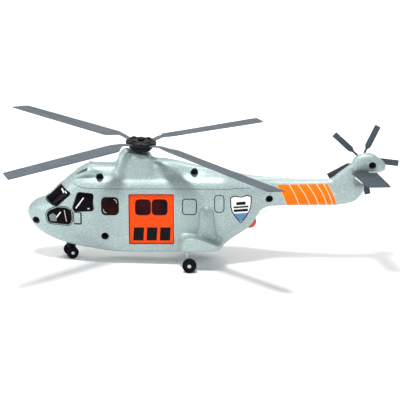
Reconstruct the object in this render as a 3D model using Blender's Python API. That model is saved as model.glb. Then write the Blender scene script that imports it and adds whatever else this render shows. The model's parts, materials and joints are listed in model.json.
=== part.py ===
"""Rescue helicopter scale model: two cast shells, sliding doors, rotors and a wheeled undercarriage.

Sizes below are millimetres in the airframe's own frame: X runs aft, Y to starboard, Z up, and the
mast stands near X = 0.  The airframe empty then pitches the whole model so that all wheels touch
the ground, and puts the origin at the centre of the base of its bounding box.
"""
import math

import bmesh
import bpy
from mathutils import Euler, Matrix, Vector

MM = 0.001

# ---- driving dimensions, millimetres and degrees ----
GAP = 0.3                 # between pieces that touch
STANCE = 1.6              # airframe pitch on its wheels, tail up
HALF_WIDTH = 21.5         # cabin, centre to side
WALL = 1.2                # cast shell
GLAZING = 0.9             # clear moulding
NOSE_X = -103.0
BOOM_END_X = 182.0

DOOR_X0, DOOR_X1 = -9.5, 31.8
DOOR_Z0, DOOR_Z1 = 20.3, 68.3
DOOR_THICK = 1.3
DOOR_TRAVEL = 37.0
DOOR_LAP = 2.0            # how far the door reaches behind the edge of its opening
DOOR_FACE = WALL + GAP    # the door runs just inside the shell

MAST_X, MAST_Z = 0.9, 98.0
MAST_TILT = 4.0
MAST_RADIUS = 1.6
BUSH_RADIUS = 3.0
HUB_Z = 109.2
HUB_RADIUS = 14.0
HUB_HEIGHT = 4.4
ROTOR_RADIUS = 165.0
ROTOR_PHASE = 46.2
BLADES = 4
BLADE_CHORD = 15.5
BLADE_THICK = 1.5
BLADE_DROOP = 2.3
ELBOW_RISE = 2.2
PIN_RADIUS = 1.1
PIN_HOLE_RADIUS = PIN_RADIUS + 0.15
PIN_REACH = 9.3           # blade pins, from the mast

TAIL_ROTOR_X, TAIL_ROTOR_Z = 203.0, 93.0
TAIL_ROTOR_Y = 9.0
TAIL_ROTOR_RADIUS = 34.5
TAIL_ROTOR_PHASE = 65.0
TAIL_BLADES = 5
TAIL_CHORD = 5.6
TAIL_AXLE_RADIUS = 1.0

STAB_X0, STAB_X1 = 196.5, 209.0
STAB_Z = 83.6
STAB_TONGUE = 1.4
STAB_ROOT_Y, STAB_TIP_Y = -5.9, -49.3

NOSE_GEAR_X = -64.0
NOSE_GEAR_YAW = 18.0
NOSE_WHEEL_RADIUS = 5.6
NOSE_WHEEL_WIDTH = 4.0
NOSE_WHEEL_SPACING = 11.4
NOSE_PIVOT = 2.0

MAIN_GEAR_X = 45.8
MAIN_WHEEL_RADIUS = 6.45
MAIN_WHEEL_WIDTH = 5.4
SPONSON_REACH = 14.0      # beyond the cabin side
LEG_HALF = 1.1
LEG_RAKE = 1.7            # how far the strut's top stands ahead of the axle
LEG_TOP_Z = 27.0
AXLE_RADIUS = 0.9
RUNNING = 0.08            # radial clearance of a wheel on its axle

SCREW_SHANK = 1.2
SCREW_HEAD = 2.5
SCREW_HEAD_HEIGHT = 1.4
WELL_RADIUS = 3.2
BOSS_RADIUS = 4.4

WINCH_X, WINCH_Z = 101.0, 36.0
WINCH_WHEEL_RADIUS = 6.0
WINCH_WHEEL_WIDTH = 5.0
WINCH_HUB_RADIUS = 2.0
WINCH_HUB_REACH = 1.0     # beyond each face of the wheel
WINCH_AXLE_RADIUS = 1.1
WINCH_BEARING = 3.0       # length of the casting's boss around each end of the axle
WINCH_BOSS_RADIUS = 3.0

BELLY_FLAT_Z = 10.9       # the casting's flat underside, where a display stand would bear

# the fuselage's lines: station, then a height, a share of HALF_WIDTH, or a power of the section
ROOF = [(-103, 47), (-100.4, 52.6), (-93.7, 58.2), (-86.4, 60.4), (-71.4, 73.4), (-59.4, 82.6),
        (-50, 84.6), (-40, 84.4), (74, 84.4), (98.4, 79.4), (119.5, 78.1), (148.8, 76.6),
        (182, 76.6)]
COWL = [(-103, 30), (-68, 70), (-59.4, 81.6), (-48.5, 90.4), (-44, 91.4), (-23, 91.4), (-20.5, 94),
        (-18.4, 99.8), (-12.5, 105.2), (-4, 103.8), (9.6, 100.8), (10.8, 98.4), (13.5, 95.8),
        (23, 95.2), (55, 88.6), (98.4, 79.4), (119, 76), (182, 74)]
COWL_WIDTH = [(-103, 0.279), (-68, 0.372), (-48, 0.558), (-24, 0.558), (-18, 0.586), (10, 0.614),
              (23, 0.581), (55, 0.442), (98, 0.326), (182, 0.186)]
BELLY = [(-103, 45.2), (-101.8, 41), (-97.7, 33.6), (-89.4, 26.4), (-81, 22), (-69, 17.8),
         (-55.5, 15), (-40, 12.9), (-22.5, 11), (-5, 10.2), (24, 10.2), (70.5, 11), (76, 15.8),
         (83, 21.4), (92, 27), (99, 31.2), (104, 36.4), (107.5, 42.6), (110.5, 47), (115, 50),
         (124, 51.4), (182, 51.6)]
BEAM = [(-103, 0.04), (-100.4, 0.27), (-95, 0.46), (-89, 0.6), (-81, 0.72), (-70, 0.82),
        (-58, 0.89), (-45, 0.95), (-30, 0.985), (-14, 1), (74, 1), (86, 0.93), (98, 0.81),
        (108, 0.65), (114, 0.55), (122, 0.47), (137, 0.4), (150, 0.36), (165, 0.33), (182, 0.3)]
WAIST = [(-103, 46.3), (-80, 46.5), (-40, 50), (74, 50), (98, 57), (113, 63.5), (182, 64.5)]
UPPER_FULLNESS = [(-103, 2), (-86, 2.3), (-60, 2.7), (-30, 2.9), (74, 2.9), (110, 2.3), (182, 2.1)]
LOWER_FULLNESS = [(-103, 2), (-86, 2.5), (-50, 3.8), (-20, 5.5), (72, 5.5), (83, 4), (100, 3),
                  (118, 2.3), (182, 2.1)]

STATIONS = [-102.9, -102, -100, -97, -93, -89.6, -86.4, -79, -71.4, -65.5, -59.4, -54, -48.5, -44,
            -34, -23, -20.5, -18.4, -15.4, -12.5, -4, 9.6, 10.8, 13.5, 23, 39, 55, 71.4, 76, 83, 91.5,
            98.4, 103, 107, 110, 112.6, 116, 124, 137, 151, 166, 182]
SIDE_STEPS = 12

# windows in side view: outlines of the openings in the shell
WINDSCREEN = [(-62.4, 67.8), (-74.3, 56.7), (-77.8, 56.3), (-86.2, 60.7), (-89, 62.5), (-74, 77.5),
              (-71.6, 73.4)]
CHIN_WINDOW = [(-84, 47.4), (-82.2, 50.4), (-74.4, 54.2), (-66.6, 54.1), (-62.4, 52), (-62, 43.5),
               (-63.8, 39.4), (-82.4, 40.4)]
SIDE_WINDOW = [(-55.2, 68.9), (-41.6, 67.8), (-42.6, 61.2), (-41.6, 53.2), (-58.6, 51.9),
               (-60, 54.6)]
CABIN_WINDOW = (-33.3, -19.2, 49.6, 64.6)
DOOR_WINDOWS = [(-3.2, 10.4, 48.6, 62.8), (12, 25.6, 48.6, 62.8)]
WINDOW_CORNER = 3.0
CENTRE_POST = 1.3         # half the post between the two windscreens

# shell screws: station, height, and how far the floor of the well is from the seam
SCREWS = [(-95, 40.1, 4.5), (-35.5, 82.2, 8), (-31.3, 28.3, 8), (50.4, 85.6, 5), (118.8, 60.4, 5),
          (212.4, 90.6, 2.2)]


def reset_scene():
    for item in list(bpy.data.objects):
        bpy.data.objects.remove(item, do_unlink=True)


# ---- materials ----
def material(name, colour, roughness, metallic=0.0, alpha=1.0):
    found = bpy.data.materials.get(name)
    if found:
        return found
    made = bpy.data.materials.new(name)
    made.use_nodes = True
    shader = made.node_tree.nodes["Principled BSDF"]
    shader.inputs["Base Color"].default_value = (*colour, 1.0)
    shader.inputs["Roughness"].default_value = roughness
    shader.inputs["Metallic"].default_value = metallic
    shader.inputs["Alpha"].default_value = alpha
    return made


FINISH = {
    "silver_paint": ((0.52, 0.6, 0.6), 0.35, 0.6),
    "orange_plastic": ((0.95, 0.09, 0.01), 0.35, 0.0),
    "dark_glazing": ((0.03, 0.012, 0.016), 0.08, 0.0),
    "grey_plastic": ((0.07, 0.085, 0.1), 0.5, 0.0),
    "rotor_plastic": ((0.13, 0.15, 0.17), 0.5, 0.0),
    "black_plastic": ((0.012, 0.013, 0.014), 0.45, 0.0),
    "tyre": ((0.012, 0.012, 0.012), 0.7, 0.0),
    "pale_plastic": ((0.45, 0.48, 0.5), 0.45, 0.0),
    "steel": ((0.6, 0.6, 0.6), 0.3, 1.0),
    "brass": ((0.75, 0.55, 0.25), 0.35, 1.0),
    "interior_plastic": ((0.3, 0.06, 0.02), 0.5, 0.0),
    "red_plastic": ((0.7, 0.1, 0.05), 0.35, 0.0),
}


# ---- mesh helpers ----
def curve_at(points, x):
    """Monotone cubic through hand-chosen points, so a line never overshoots them."""
    last = len(points) - 1
    x = min(max(x, points[0][0]), points[last][0])
    slopes = [(points[i + 1][1] - points[i][1]) / (points[i + 1][0] - points[i][0])
              for i in range(last)]

    def tangent(i):
        if i == 0 or i == last:
            return slopes[0 if i == 0 else last - 1]
        before, after = slopes[i - 1], slopes[i]
        return 0.0 if before * after <= 0 else 2 * before * after / (before + after)

    i = next(k for k in range(last) if x <= points[k + 1][0])
    (x0, v0), (x1, v1) = points[i], points[i + 1]
    span = x1 - x0
    t = (x - x0) / span
    return ((2 * t**3 - 3 * t**2 + 1) * v0 + (t**3 - 2 * t**2 + t) * span * tangent(i)
            + (3 * t**2 - 2 * t**3) * v1 + (t**3 - t**2) * span * tangent(i + 1))


def body_point(x, angle):
    """Point of the fuselage skin at a station; angle 0 is up and pi down, on the port side."""
    waist, roof, belly = curve_at(WAIST, x), curve_at(ROOF, x), curve_at(BELLY, x)
    width = HALF_WIDTH * curve_at(BEAM, x)
    side, rise = abs(math.sin(angle)), math.cos(angle)
    up = rise >= 0
    height = roof - waist if up else waist - belly
    full = curve_at(UPPER_FULLNESS if up else LOWER_FULLNESS, x)
    radius = ((side / width) ** full + (abs(rise) / height) ** full) ** (-1 / full)
    if up:
        cowl_height = curve_at(COWL, x) - waist
        if cowl_height > 1:
            cowl_width = HALF_WIDTH * curve_at(COWL_WIDTH, x)
            cowl = ((side / cowl_width) ** 5 + (rise / cowl_height) ** 5) ** (-1 / 5)
            radius = (radius**26 + cowl**26) ** (1 / 26) if cowl > 0.5 * radius else radius
    return Vector((x, -radius * math.sin(angle), waist + radius * rise))


def skin(x, angle, depth=0.0):
    """Skin point moved inwards, square to the skin, by a depth."""
    point = body_point(x, angle)
    if not depth:
        return point
    step = 0.25
    low, high = max(NOSE_X + 0.05, x - step), min(BOOM_END_X, x + step)
    along = body_point(high, angle) - body_point(low, angle)
    round_ = body_point(x, angle + 0.02) - body_point(x, angle - 0.02)
    normal = along.cross(round_).normalized()
    if normal.dot(point - Vector((x, 0, curve_at(WAIST, x)))) < 0:
        normal = -normal
    return point - depth * normal


def facet_point(x, step, depth=0.0):
    """Point on the flat facets that the skin is made of; step counts facets from the top."""
    k = min(int(step), SIDE_STEPS - 1)
    high, low = (skin(x, math.pi * n / SIDE_STEPS, depth) for n in (k, k + 1))
    return high.lerp(low, step - k)


def step_at(x, z, depth=0.0):
    """Facet step at a height, by halving."""
    low, high = 0.0, float(SIDE_STEPS)
    for _ in range(30):
        middle = (low + high) / 2
        if facet_point(x, middle, depth).z > z:
            low = middle
        else:
            high = middle
    return low


def side_at(x, z, depth=0.0):
    """Distance of the skin's facets from the centre plane at a station and height."""
    return -facet_point(x, step_at(x, z, depth), depth).y


def mesh_object(name, verts, faces, finish, parent=None, smooth=False):
    mesh = bpy.data.meshes.new(name)
    mesh.from_pydata([tuple(c * MM for c in v) for v in verts], [], faces)
    tidy = bmesh.new()
    tidy.from_mesh(mesh)
    bmesh.ops.remove_doubles(tidy, verts=tidy.verts, dist=1e-6)
    bmesh.ops.recalc_face_normals(tidy, faces=tidy.faces)
    tidy.to_mesh(mesh)
    tidy.free()
    made = bpy.data.objects.new(name, mesh)
    bpy.context.scene.collection.objects.link(made)
    if finish:
        mesh.materials.append(material(finish, *FINISH[finish]))
    if smooth:
        mesh.shade_smooth()
        mesh.set_sharp_from_angle(angle=math.radians(35))
    if parent:
        made.parent = parent
    return made


def loft(name, rings, finish=None, parent=None, smooth=False):
    """Closed solid through rings of equal point counts, with flat ends."""
    count = len(rings[0])
    verts = [p for ring in rings for p in ring]
    faces = [[r * count + i, r * count + (i + 1) % count, (r + 1) * count + (i + 1) % count,
              (r + 1) * count + i] for r in range(len(rings) - 1) for i in range(count)]
    faces.append(list(range(count))[::-1])
    faces.append([(len(rings) - 1) * count + i for i in range(count)])
    return mesh_object(name, verts, faces, finish, parent, smooth)


def thick_sheet(name, outer, inner, finish=None, parent=None):
    """Closed solid between two grids of points with the same rows and columns."""
    rows, cols = len(outer), len(outer[0])
    verts = [p for row in outer for p in row] + [p for row in inner for p in row]
    half = rows * cols

    def at(r, c, side):
        return side * half + r * cols + c

    faces = []
    for r in range(rows - 1):
        for c in range(cols - 1):
            faces.append([at(r, c, 0), at(r, c + 1, 0), at(r + 1, c + 1, 0), at(r + 1, c, 0)])
            faces.append([at(r, c, 1), at(r + 1, c, 1), at(r + 1, c + 1, 1), at(r, c + 1, 1)])
    edge = ([(0, c) for c in range(cols)] + [(r, cols - 1) for r in range(1, rows)]
            + [(rows - 1, c) for c in range(cols - 2, -1, -1)] + [(r, 0) for r in range(rows - 2, 0, -1)])
    for k, (r, c) in enumerate(edge):
        r2, c2 = edge[(k + 1) % len(edge)]
        faces.append([at(r, c, 0), at(r, c, 1), at(r2, c2, 1), at(r2, c2, 0)])
    return mesh_object(name, verts, faces, finish, parent)


def outline_prism(name, outline, y0, y1, finish=None, parent=None):
    """Outline in the X-Z plane, extruded along Y."""
    return loft(name, [[(x, y, z) for x, z in outline] for y in (y0, y1)], finish, parent)


def round_rect(x0, x1, z0, z1, radius, steps=3):
    corners = [(x1 - radius, z1 - radius, 0), (x0 + radius, z1 - radius, 90),
               (x0 + radius, z0 + radius, 180), (x1 - radius, z0 + radius, 270)]
    return [(cx + radius * math.cos(math.radians(a + 90 * k / steps)),
             cz + radius * math.sin(math.radians(a + 90 * k / steps)))
            for cx, cz, a in corners for k in range(steps + 1)]


def inset_outline(outline, gap):
    """Outline moved inwards by a gap, for convex or nearly convex outlines."""
    count = len(outline)
    area = sum(outline[i][0] * outline[(i + 1) % count][1]
               - outline[(i + 1) % count][0] * outline[i][1] for i in range(count))
    turn = 1 if area > 0 else -1
    moved = []
    for i in range(count):
        before, here = Vector(outline[i - 1]), Vector(outline[i])
        after = Vector(outline[(i + 1) % count])
        n0 = Vector((-(here - before).y, (here - before).x)).normalized() * turn
        n1 = Vector((-(after - here).y, (after - here).x)).normalized() * turn
        bisector = (n0 + n1).normalized()
        moved.append(tuple(here + bisector * gap / max(0.5, bisector.dot(n0))))
    return moved


def turned(name, profile, finish=None, parent=None, steps=20, axis="Z"):
    """Solid of revolution; the profile is (radius, height) from bottom to top, ending on the axis."""
    rings = []
    for radius, height in profile:
        ring = []
        for k in range(steps):
            a = 2 * math.pi * k / steps
            c, s = max(radius, 0.001) * math.cos(a), max(radius, 0.001) * math.sin(a)
            ring.append((c, s, height) if axis == "Z" else (c, height, s))
        rings.append(ring)
    return loft(name, rings, finish, parent, smooth=True)


def ring_solid(name, profile, finish=None, parent=None, steps=20, axis="Z"):
    """Turned solid with a hole through it; the profile is a closed loop of (radius, height)."""
    verts, faces = [], []
    count = len(profile)
    for k in range(steps):
        a = 2 * math.pi * k / steps
        for radius, height in profile:
            c, s = radius * math.cos(a), radius * math.sin(a)
            verts.append((c, s, height) if axis == "Z" else (c, height, s))
    for k in range(steps):
        for i in range(count):
            j = (i + 1) % count
            n = (k + 1) % steps
            faces.append([k * count + i, k * count + j, n * count + j, n * count + i])
    return mesh_object(name, verts, faces, finish, parent, smooth=True)


def place(item, x=0.0, y=0.0, z=0.0, turn=(0, 0, 0)):
    item.location = (x * MM, y * MM, z * MM)
    item.rotation_euler = Euler([math.radians(a) for a in turn])
    return item


def settle(item):
    """Put an object's own placement into its mesh."""
    item.data.transform(item.matrix_basis)
    item.matrix_basis = Matrix()
    return item


def combine(target, other, operation):
    """Boolean of two closed solids drawn in one frame; the other one is used up."""
    settle(other)
    other.parent = target.parent
    step = target.modifiers.new(operation.lower(), "BOOLEAN")
    step.object = other
    step.operation = operation
    step.solver = "EXACT"
    bpy.context.view_layer.update()
    shape = bpy.data.meshes.new_from_object(target.evaluated_get(bpy.context.evaluated_depsgraph_get()))
    target.modifiers.clear()
    target.data = shape
    bpy.data.objects.remove(other, do_unlink=True)
    return target


def cylinder_y(name, x, z, radius, y0, y1, steps=18):
    made = turned(name, [(radius, y0), (radius, y1)], axis="Y", steps=steps)
    return place(made, x, 0, z)


def copy_mirrored(item, name):
    """The same solid on the other side of the centre plane."""
    mesh = item.data.copy()
    mesh.transform(Matrix.Scale(-1, 4, (0, 1, 0)))
    mesh.flip_normals()
    made = bpy.data.objects.new(name, mesh)
    made.parent = item.parent
    bpy.context.scene.collection.objects.link(made)
    return made


def box(name, x0, x1, y0, y1, z0, z1, finish=None, parent=None):
    return loft(name, [[(x0, y0, z), (x1, y0, z), (x1, y1, z), (x0, y1, z)] for z in (z0, z1)],
                finish, parent)


# ---- fuselage ----
def half_rings(stations, depth, seam):
    """D-shaped rings of the port half; the flat side lies on the plane y = seam."""
    rings = []
    for x in stations:
        ring = []
        for k in range(SIDE_STEPS + 1):
            point = skin(x, math.pi * k / SIDE_STEPS, depth)
            point.y = seam if k in (0, SIDE_STEPS) else min(point.y, -GAP / 2 - 0.01)
            ring.append(tuple(point))
        rings.append(ring)
    return rings


def fin_rings(seam):
    """Swept fin: height, leading edge, trailing edge, half thickness."""
    sections = [(53, 168, 189, 2.2), (55.5, 165, 196.5, 4.4), (60, 163, 201.6, 5.6),
                (66, 163, 205.4, 5.8), (70, 166, 205.4, 5.4), (74, 171, 201, 4.8),
                (78, 176.5, 197, 4.4), (83, 182.6, 197.4, 4), (88, 189, 201, 3.6),
                (94, 197, 206, 3)]
    rings = []
    for z, lead, trail, thick in sections:
        middle, chord = (lead + trail) / 2, (trail - lead) / 2
        ring = [(middle - chord * math.cos(math.pi * k / 8),
                 min(seam - 0.01, -thick * math.sin(math.pi * k / 8) ** 0.8) if 0 < k < 8 else seam, z)
                for k in range(9)]
        rings.append(ring)
    return rings


def fairing_rings(seam):
    """Rounded pod at the fin's top: station, lower edge, upper edge, half thickness."""
    sections = [(193.6, 84.6, 92, 2), (196, 82.9, 96.6, 4), (200, 82.2, 99.4, 5.2),
                (205, 82, 101, 5.6), (211, 82.1, 100.9, 5.6), (217, 82.6, 97.6, 5.2),
                (221.6, 83.8, 94, 4.2), (224.4, 85.6, 91, 2.4)]
    rings = []
    for x, low, high, thick in sections:
        middle, height = (low + high) / 2, (high - low) / 2
        ring = []
        for k in range(9):
            a = math.pi * k / 8
            y = seam if k in (0, 8) else min(seam - 0.01, -thick * math.sin(a) ** 0.75)
            ring.append((x, y, middle + height * math.cos(a)))
        rings.append(ring)
    return rings


def sponson_rings():
    """Undercarriage sponson as ribs along Y, from inside the cabin side outwards."""
    rings = []
    for reach in (-4.0, 3.0, 8.0, 11.5, SPONSON_REACH - 0.7, SPONSON_REACH):
        t = max(0.0, reach) / SPONSON_REACH
        front, rear = 34 + 7 * t**2, 77 - 4.5 * t
        low_front, low_rear = 15.6 + 1.4 * t**3, 17.6 + 1.6 * t**3
        high_front, high_rear = 32 - 0.6 * t, 26.8 - 3 * t
        edge = 2.4 if reach >= SPONSON_REACH else 1.2
        section = [(front, low_front + edge + 2.2), (front + 2.6, low_front + 0.6),
                   (front + 6, low_front), (rear - edge, low_rear), (rear, low_rear + edge),
                   (rear, high_rear - edge), (rear - edge, high_rear), (front + 9, high_front),
                   (front + 4, high_front - 0.8), (front + 1, high_front - 4)]
        rings.append([(x, -(HALF_WIDTH + reach), z) for x, z in section])
    return rings


def bulge_rings():
    """Bell-shaped housing above the sponson's rear."""
    rings = []
    for z, half, out in ((24, 9.4, 3.4), (30, 9, 3.2), (38, 7, 2.8), (46, 6, 2.5), (52, 5.6, 2.1),
                         (55.5, 4.4, 1)):
        side = side_at(60.5, z)
        rings.append([(60.5 + half * math.cos(math.pi * k / 6),
                       -(side - 1) - (out + 1) * math.sin(math.pi * k / 6) ** 0.8 if 0 < k < 6
                       else -(side - 1), z) for k in range(7)])
    return rings


def screw_bosses():
    return [cylinder_y("boss", x, z, BOSS_RADIUS, -HALF_WIDTH - 6, 6) for x, z, _ in SCREWS[:5]]


def half_shell(name, parent):
    """Port half of the casting, without the features that only one side has."""
    shell = loft(name, half_rings(STATIONS, 0.0, -GAP / 2), "silver_paint", parent)
    combine(shell, loft("fin", fin_rings(-GAP / 2)), "UNION")
    combine(shell, loft("fairing", fairing_rings(-GAP / 2)), "UNION")
    combine(shell, loft("sponson", sponson_rings()), "UNION")
    combine(shell, loft("bulge", bulge_rings()), "UNION")
    cavity = loft("cavity", half_rings([x for x in STATIONS if -98 < x < 151], WALL, 1.0))
    winch_boss = cylinder_y("winch_boss", WINCH_X, WINCH_Z, WINCH_BOSS_RADIUS, -winch_reach() - WALL,
                            -winch_boss_y() / 2, 20)
    for boss in screw_bosses() + [winch_boss]:
        combine(cavity, boss, "DIFFERENCE")
    combine(shell, cavity, "DIFFERENCE")
    outside = -HALF_WIDTH - 30
    for outline in (WINDSCREEN, CHIN_WINDOW, SIDE_WINDOW, round_rect(*CABIN_WINDOW, WINDOW_CORNER)):
        combine(shell, outline_prism("window", outline, outside, -CENTRE_POST), "DIFFERENCE")
    door = round_rect(DOOR_X0, DOOR_X1, DOOR_Z0, DOOR_Z1, 1.0, 2)
    combine(shell, outline_prism("door", door, outside, -HALF_WIDTH + 8), "DIFFERENCE")
    combine(shell, leg_socket(), "DIFFERENCE")
    combine(shell, nose_socket(), "DIFFERENCE")
    combine(shell, mast_hole(), "DIFFERENCE")
    combine(shell, winch_slot(), "DIFFERENCE")
    socket = cylinder_y("winch_socket", WINCH_X, WINCH_Z, WINCH_AXLE_RADIUS + RUNNING,
                        -winch_reach() - GAP, -winch_boss_y() + 1, 14)
    combine(shell, socket, "DIFFERENCE")
    flat = box("belly_flat", DOOR_X0 - 20, 82, -HALF_WIDTH - 3, 9, BELLY_FLAT_Z - 9, BELLY_FLAT_Z)
    combine(shell, flat, "DIFFERENCE")
    return shell


def leg_socket():
    x, y, half = MAIN_GEAR_X - LEG_RAKE, -leg_y(), LEG_HALF + GAP
    return box("leg_socket", x - half, x + half, y - half, y + half, 8, LEG_TOP_Z + GAP)


def nose_socket():
    made = turned("nose_socket", [(NOSE_PIVOT + GAP, -9), (NOSE_PIVOT + GAP, 40)], steps=16)
    return place(made, NOSE_GEAR_X, 0, 0)


def mast_hole():
    made = turned("mast_hole", [(BUSH_RADIUS + GAP, -16), (BUSH_RADIUS + GAP, 12)], steps=20)
    return place(made, MAST_X, 0, MAST_Z, (0, MAST_TILT, 0))


def winch_slot():
    half = winch_boss_y()
    return cylinder_y("winch_slot", WINCH_X, WINCH_Z, WINCH_WHEEL_RADIUS + 0.8, -half, half, 26)


# sizes that follow from the driving ones
def wheel_height(x, radius):
    """Height of a wheel's axle in the airframe's frame for the tyre to touch the ground."""
    pitch = math.radians(STANCE)
    return (radius - x * math.sin(pitch)) / math.cos(pitch)


def winch_boss_y():
    """Inner face of the casting's winch boss, just clear of the wheel's hub."""
    return WINCH_WHEEL_WIDTH / 2 + WINCH_HUB_REACH + GAP


def winch_reach():
    """Half length of the winch axle, which ends inside the boss."""
    return winch_boss_y() + WINCH_BEARING


def wheel_y():
    return HALF_WIDTH + SPONSON_REACH + 0.6


def leg_y():
    return wheel_y() - MAIN_WHEEL_WIDTH / 2 - LEG_HALF - 0.5


def left_shell(parent, blank):
    shell = copy_plain(blank, "left_shell", parent)
    for x, z, floor in SCREWS:
        combine(shell, cylinder_y("well", x, z, WELL_RADIUS, -HALF_WIDTH - 20, -floor), "DIFFERENCE")
        combine(shell, cylinder_y("hole", x, z, SCREW_SHANK + GAP, -floor - 1, 2), "DIFFERENCE")
    slot = outline_prism("slot", round_rect(STAB_X0 - GAP, STAB_X1 + GAP, STAB_Z - STAB_TONGUE / 2 - GAP,
                                            STAB_Z + STAB_TONGUE / 2 + GAP, 0.4, 1), -20, -1.2)
    combine(shell, slot, "DIFFERENCE")
    return shell


def right_shell(parent, blank):
    shell = copy_mirrored(blank, "right_shell")
    shell.parent = parent
    for x, z, floor in SCREWS:
        depth = 3.2 if x > 200 else 9.0
        combine(shell, cylinder_y("pilot", x, z, SCREW_SHANK + 0.1, -2, depth), "DIFFERENCE")
    bore = cylinder_y("bore", TAIL_ROTOR_X, TAIL_ROTOR_Z, TAIL_AXLE_RADIUS + RUNNING, -2, 20, 16)
    combine(shell, bore, "DIFFERENCE")
    return shell


def copy_plain(item, name, parent):
    made = bpy.data.objects.new(name, item.data.copy())
    made.parent = parent
    bpy.context.scene.collection.objects.link(made)
    return made


def shell_screws(parent):
    """Pan-head screws, driven from the port side."""
    for number, (x, z, floor) in enumerate(SCREWS, 1):
        tip = 2.6 if x > 200 else 8.0
        head = -floor - GAP - SCREW_HEAD_HEIGHT
        profile = [(SCREW_HEAD * 0.8, head), (SCREW_HEAD, head + 0.5), (SCREW_HEAD, -floor - GAP),
                   (SCREW_SHANK, -floor - GAP), (SCREW_SHANK, tip - 1), (SCREW_SHANK * 0.5, tip)]
        place(turned("shell_screw_%d" % number, profile, "steel", parent, 14, "Y"), x, 0, z)


# ---- glazing ----
def cockpit_glazing(parent):
    """Clear moulding inside each shell's nose, with raised panes that fill the openings."""
    stations = [x for x in STATIONS if -90 <= x <= -43]
    angles = [math.radians(2)] + [math.pi * k / SIDE_STEPS for k in range(1, SIDE_STEPS * 2 // 3 + 1)]
    back = WALL + GAP

    def sheet(name, top, under, finish=None):
        return thick_sheet(name, [[tuple(skin(x, a, top)) for a in angles] for x in stations],
                           [[tuple(skin(x, a, under)) for a in angles] for x in stations], finish)

    canopy = sheet("left_cockpit_glazing", back, back + GLAZING, "dark_glazing")
    canopy.parent = parent
    roof_x, roof_z = WINDSCREEN[0][0] - 4, WINDSCREEN[-1][1]
    under_deck = box("under_deck", roof_x, 0, -HALF_WIDTH - 9, 9, roof_z, roof_z + 60)
    combine(canopy, under_deck, "DIFFERENCE")
    for outline in (WINDSCREEN, CHIN_WINDOW, SIDE_WINDOW):
        pane = sheet("pane", GAP, back + GLAZING / 2)
        cut = outline_prism("cut", inset_outline(outline, GAP), -HALF_WIDTH - 20, -CENTRE_POST - GAP)
        combine(pane, cut, "INTERSECT")
        combine(canopy, pane, "UNION")
    copy_mirrored(canopy, "right_cockpit_glazing")


def window_pane(name, outline, x_span, z_span, depth, thick, parent):
    """Pane with a raised face in its opening and a flange behind the shell."""
    def rows(d, grow):
        xs = [x_span[0] - grow, x_span[1] + grow]
        zs = [z_span[0] - grow + k * (z_span[1] - z_span[0] + 2 * grow) / 4 for k in range(5)]
        return [[(x, -side_at(x, z) + d, z) for z in zs] for x in xs]

    flange_top = depth + WALL + GAP
    pane = thick_sheet(name, rows(flange_top, 1.5), rows(flange_top + thick, 1.5), "dark_glazing", parent)
    face = thick_sheet("face", rows(depth + GAP, 0), rows(flange_top + thick / 2, 0))
    combine(face, outline_prism("cut", inset_outline(outline, GAP), -HALF_WIDTH - 9, 0), "INTERSECT")
    combine(pane, face, "UNION")
    return pane


def cabin_windows(parent):
    x0, x1, z0, z1 = CABIN_WINDOW
    outline = round_rect(x0, x1, z0, z1, WINDOW_CORNER)
    left = window_pane("left_cabin_window", outline, (x0, x1), (z0, z1), 0, GLAZING, parent)
    copy_mirrored(left, "right_cabin_window")


# ---- sliding doors ----
def side_strip(name, x0, x1, z0, z1, face, thick, finish=None, parent=None):
    """Strip behind the cabin side, straight along X, with the same facets as the shell."""
    first, last = step_at(DOOR_X0, z1), step_at(DOOR_X0, z0)
    steps = [first] + [k for k in range(SIDE_STEPS + 1) if first + 0.05 < k < last - 0.05] + [last]

    def rows(depth):
        section = [facet_point(DOOR_X0, step, depth) for step in steps]
        return [[(x, point.y, point.z) for point in section] for x in (x0, x1)]

    return thick_sheet(name, rows(face), rows(face + thick), finish, parent)


def doors(parent):
    runner = side_strip("left_door", DOOR_X0 - DOOR_LAP, DOOR_X1 + DOOR_LAP, DOOR_Z0 - 1,
                        DOOR_Z1 + 1, DOOR_FACE, DOOR_THICK, "orange_plastic", parent)
    for word, (x0, x1, z0, z1) in zip(("front", "rear"), DOOR_WINDOWS):
        outline = round_rect(x0, x1, z0, z1, WINDOW_CORNER)
        combine(runner, outline_prism("cut", outline, -HALF_WIDTH - 9, 0), "DIFFERENCE")
        pane = side_strip("left_door_window_" + word, x0 - 1, x1 + 1, z0 - 1, z1 + 1,
                          DOOR_FACE + GAP, DOOR_THICK - 2 * GAP, "dark_glazing", parent)
        combine(pane, outline_prism("cut", inset_outline(outline, GAP), -HALF_WIDTH - 9, 0), "INTERSECT")
        copy_mirrored(pane, "right_door_window_" + word)
    copy_mirrored(runner, "right_door")


def door_guides(parent):
    """U-shaped rail behind each door: it holds the door against the shell and stops it aft."""
    face = DOOR_FACE + DOOR_THICK + GAP
    x0, x1 = DOOR_X0 - DOOR_LAP - 1, DOOR_X1 + DOOR_LAP + DOOR_TRAVEL + 1.6
    thick, deep = 1.2, 3.0
    low, high = DOOR_Z0 - 2.2, DOOR_Z1 + 2.2
    guide = side_strip("left_door_guide", x0, x1, low, high, face, thick, "interior_plastic", parent)
    opening = round_rect(x0 - 4, x1 - 3, low + deep, high - deep, 0.5, 1)
    combine(guide, outline_prism("cut", opening, -HALF_WIDTH - 9, 0), "DIFFERENCE")
    copy_mirrored(guide, "right_door_guide")
    return face + thick


# ---- interior ----
def floor_plate(name, stations, z, depth, parent):
    """Flat floor between the cabin sides."""
    port = [(x, -side_at(x, z - 1.6, depth)) for x in stations]
    ring = port + [(x, -y) for x, y in reversed(port)]
    return loft(name, [[(x, y, h) for x, y in ring] for h in (z - 1.6, z)], "interior_plastic", parent)


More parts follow.
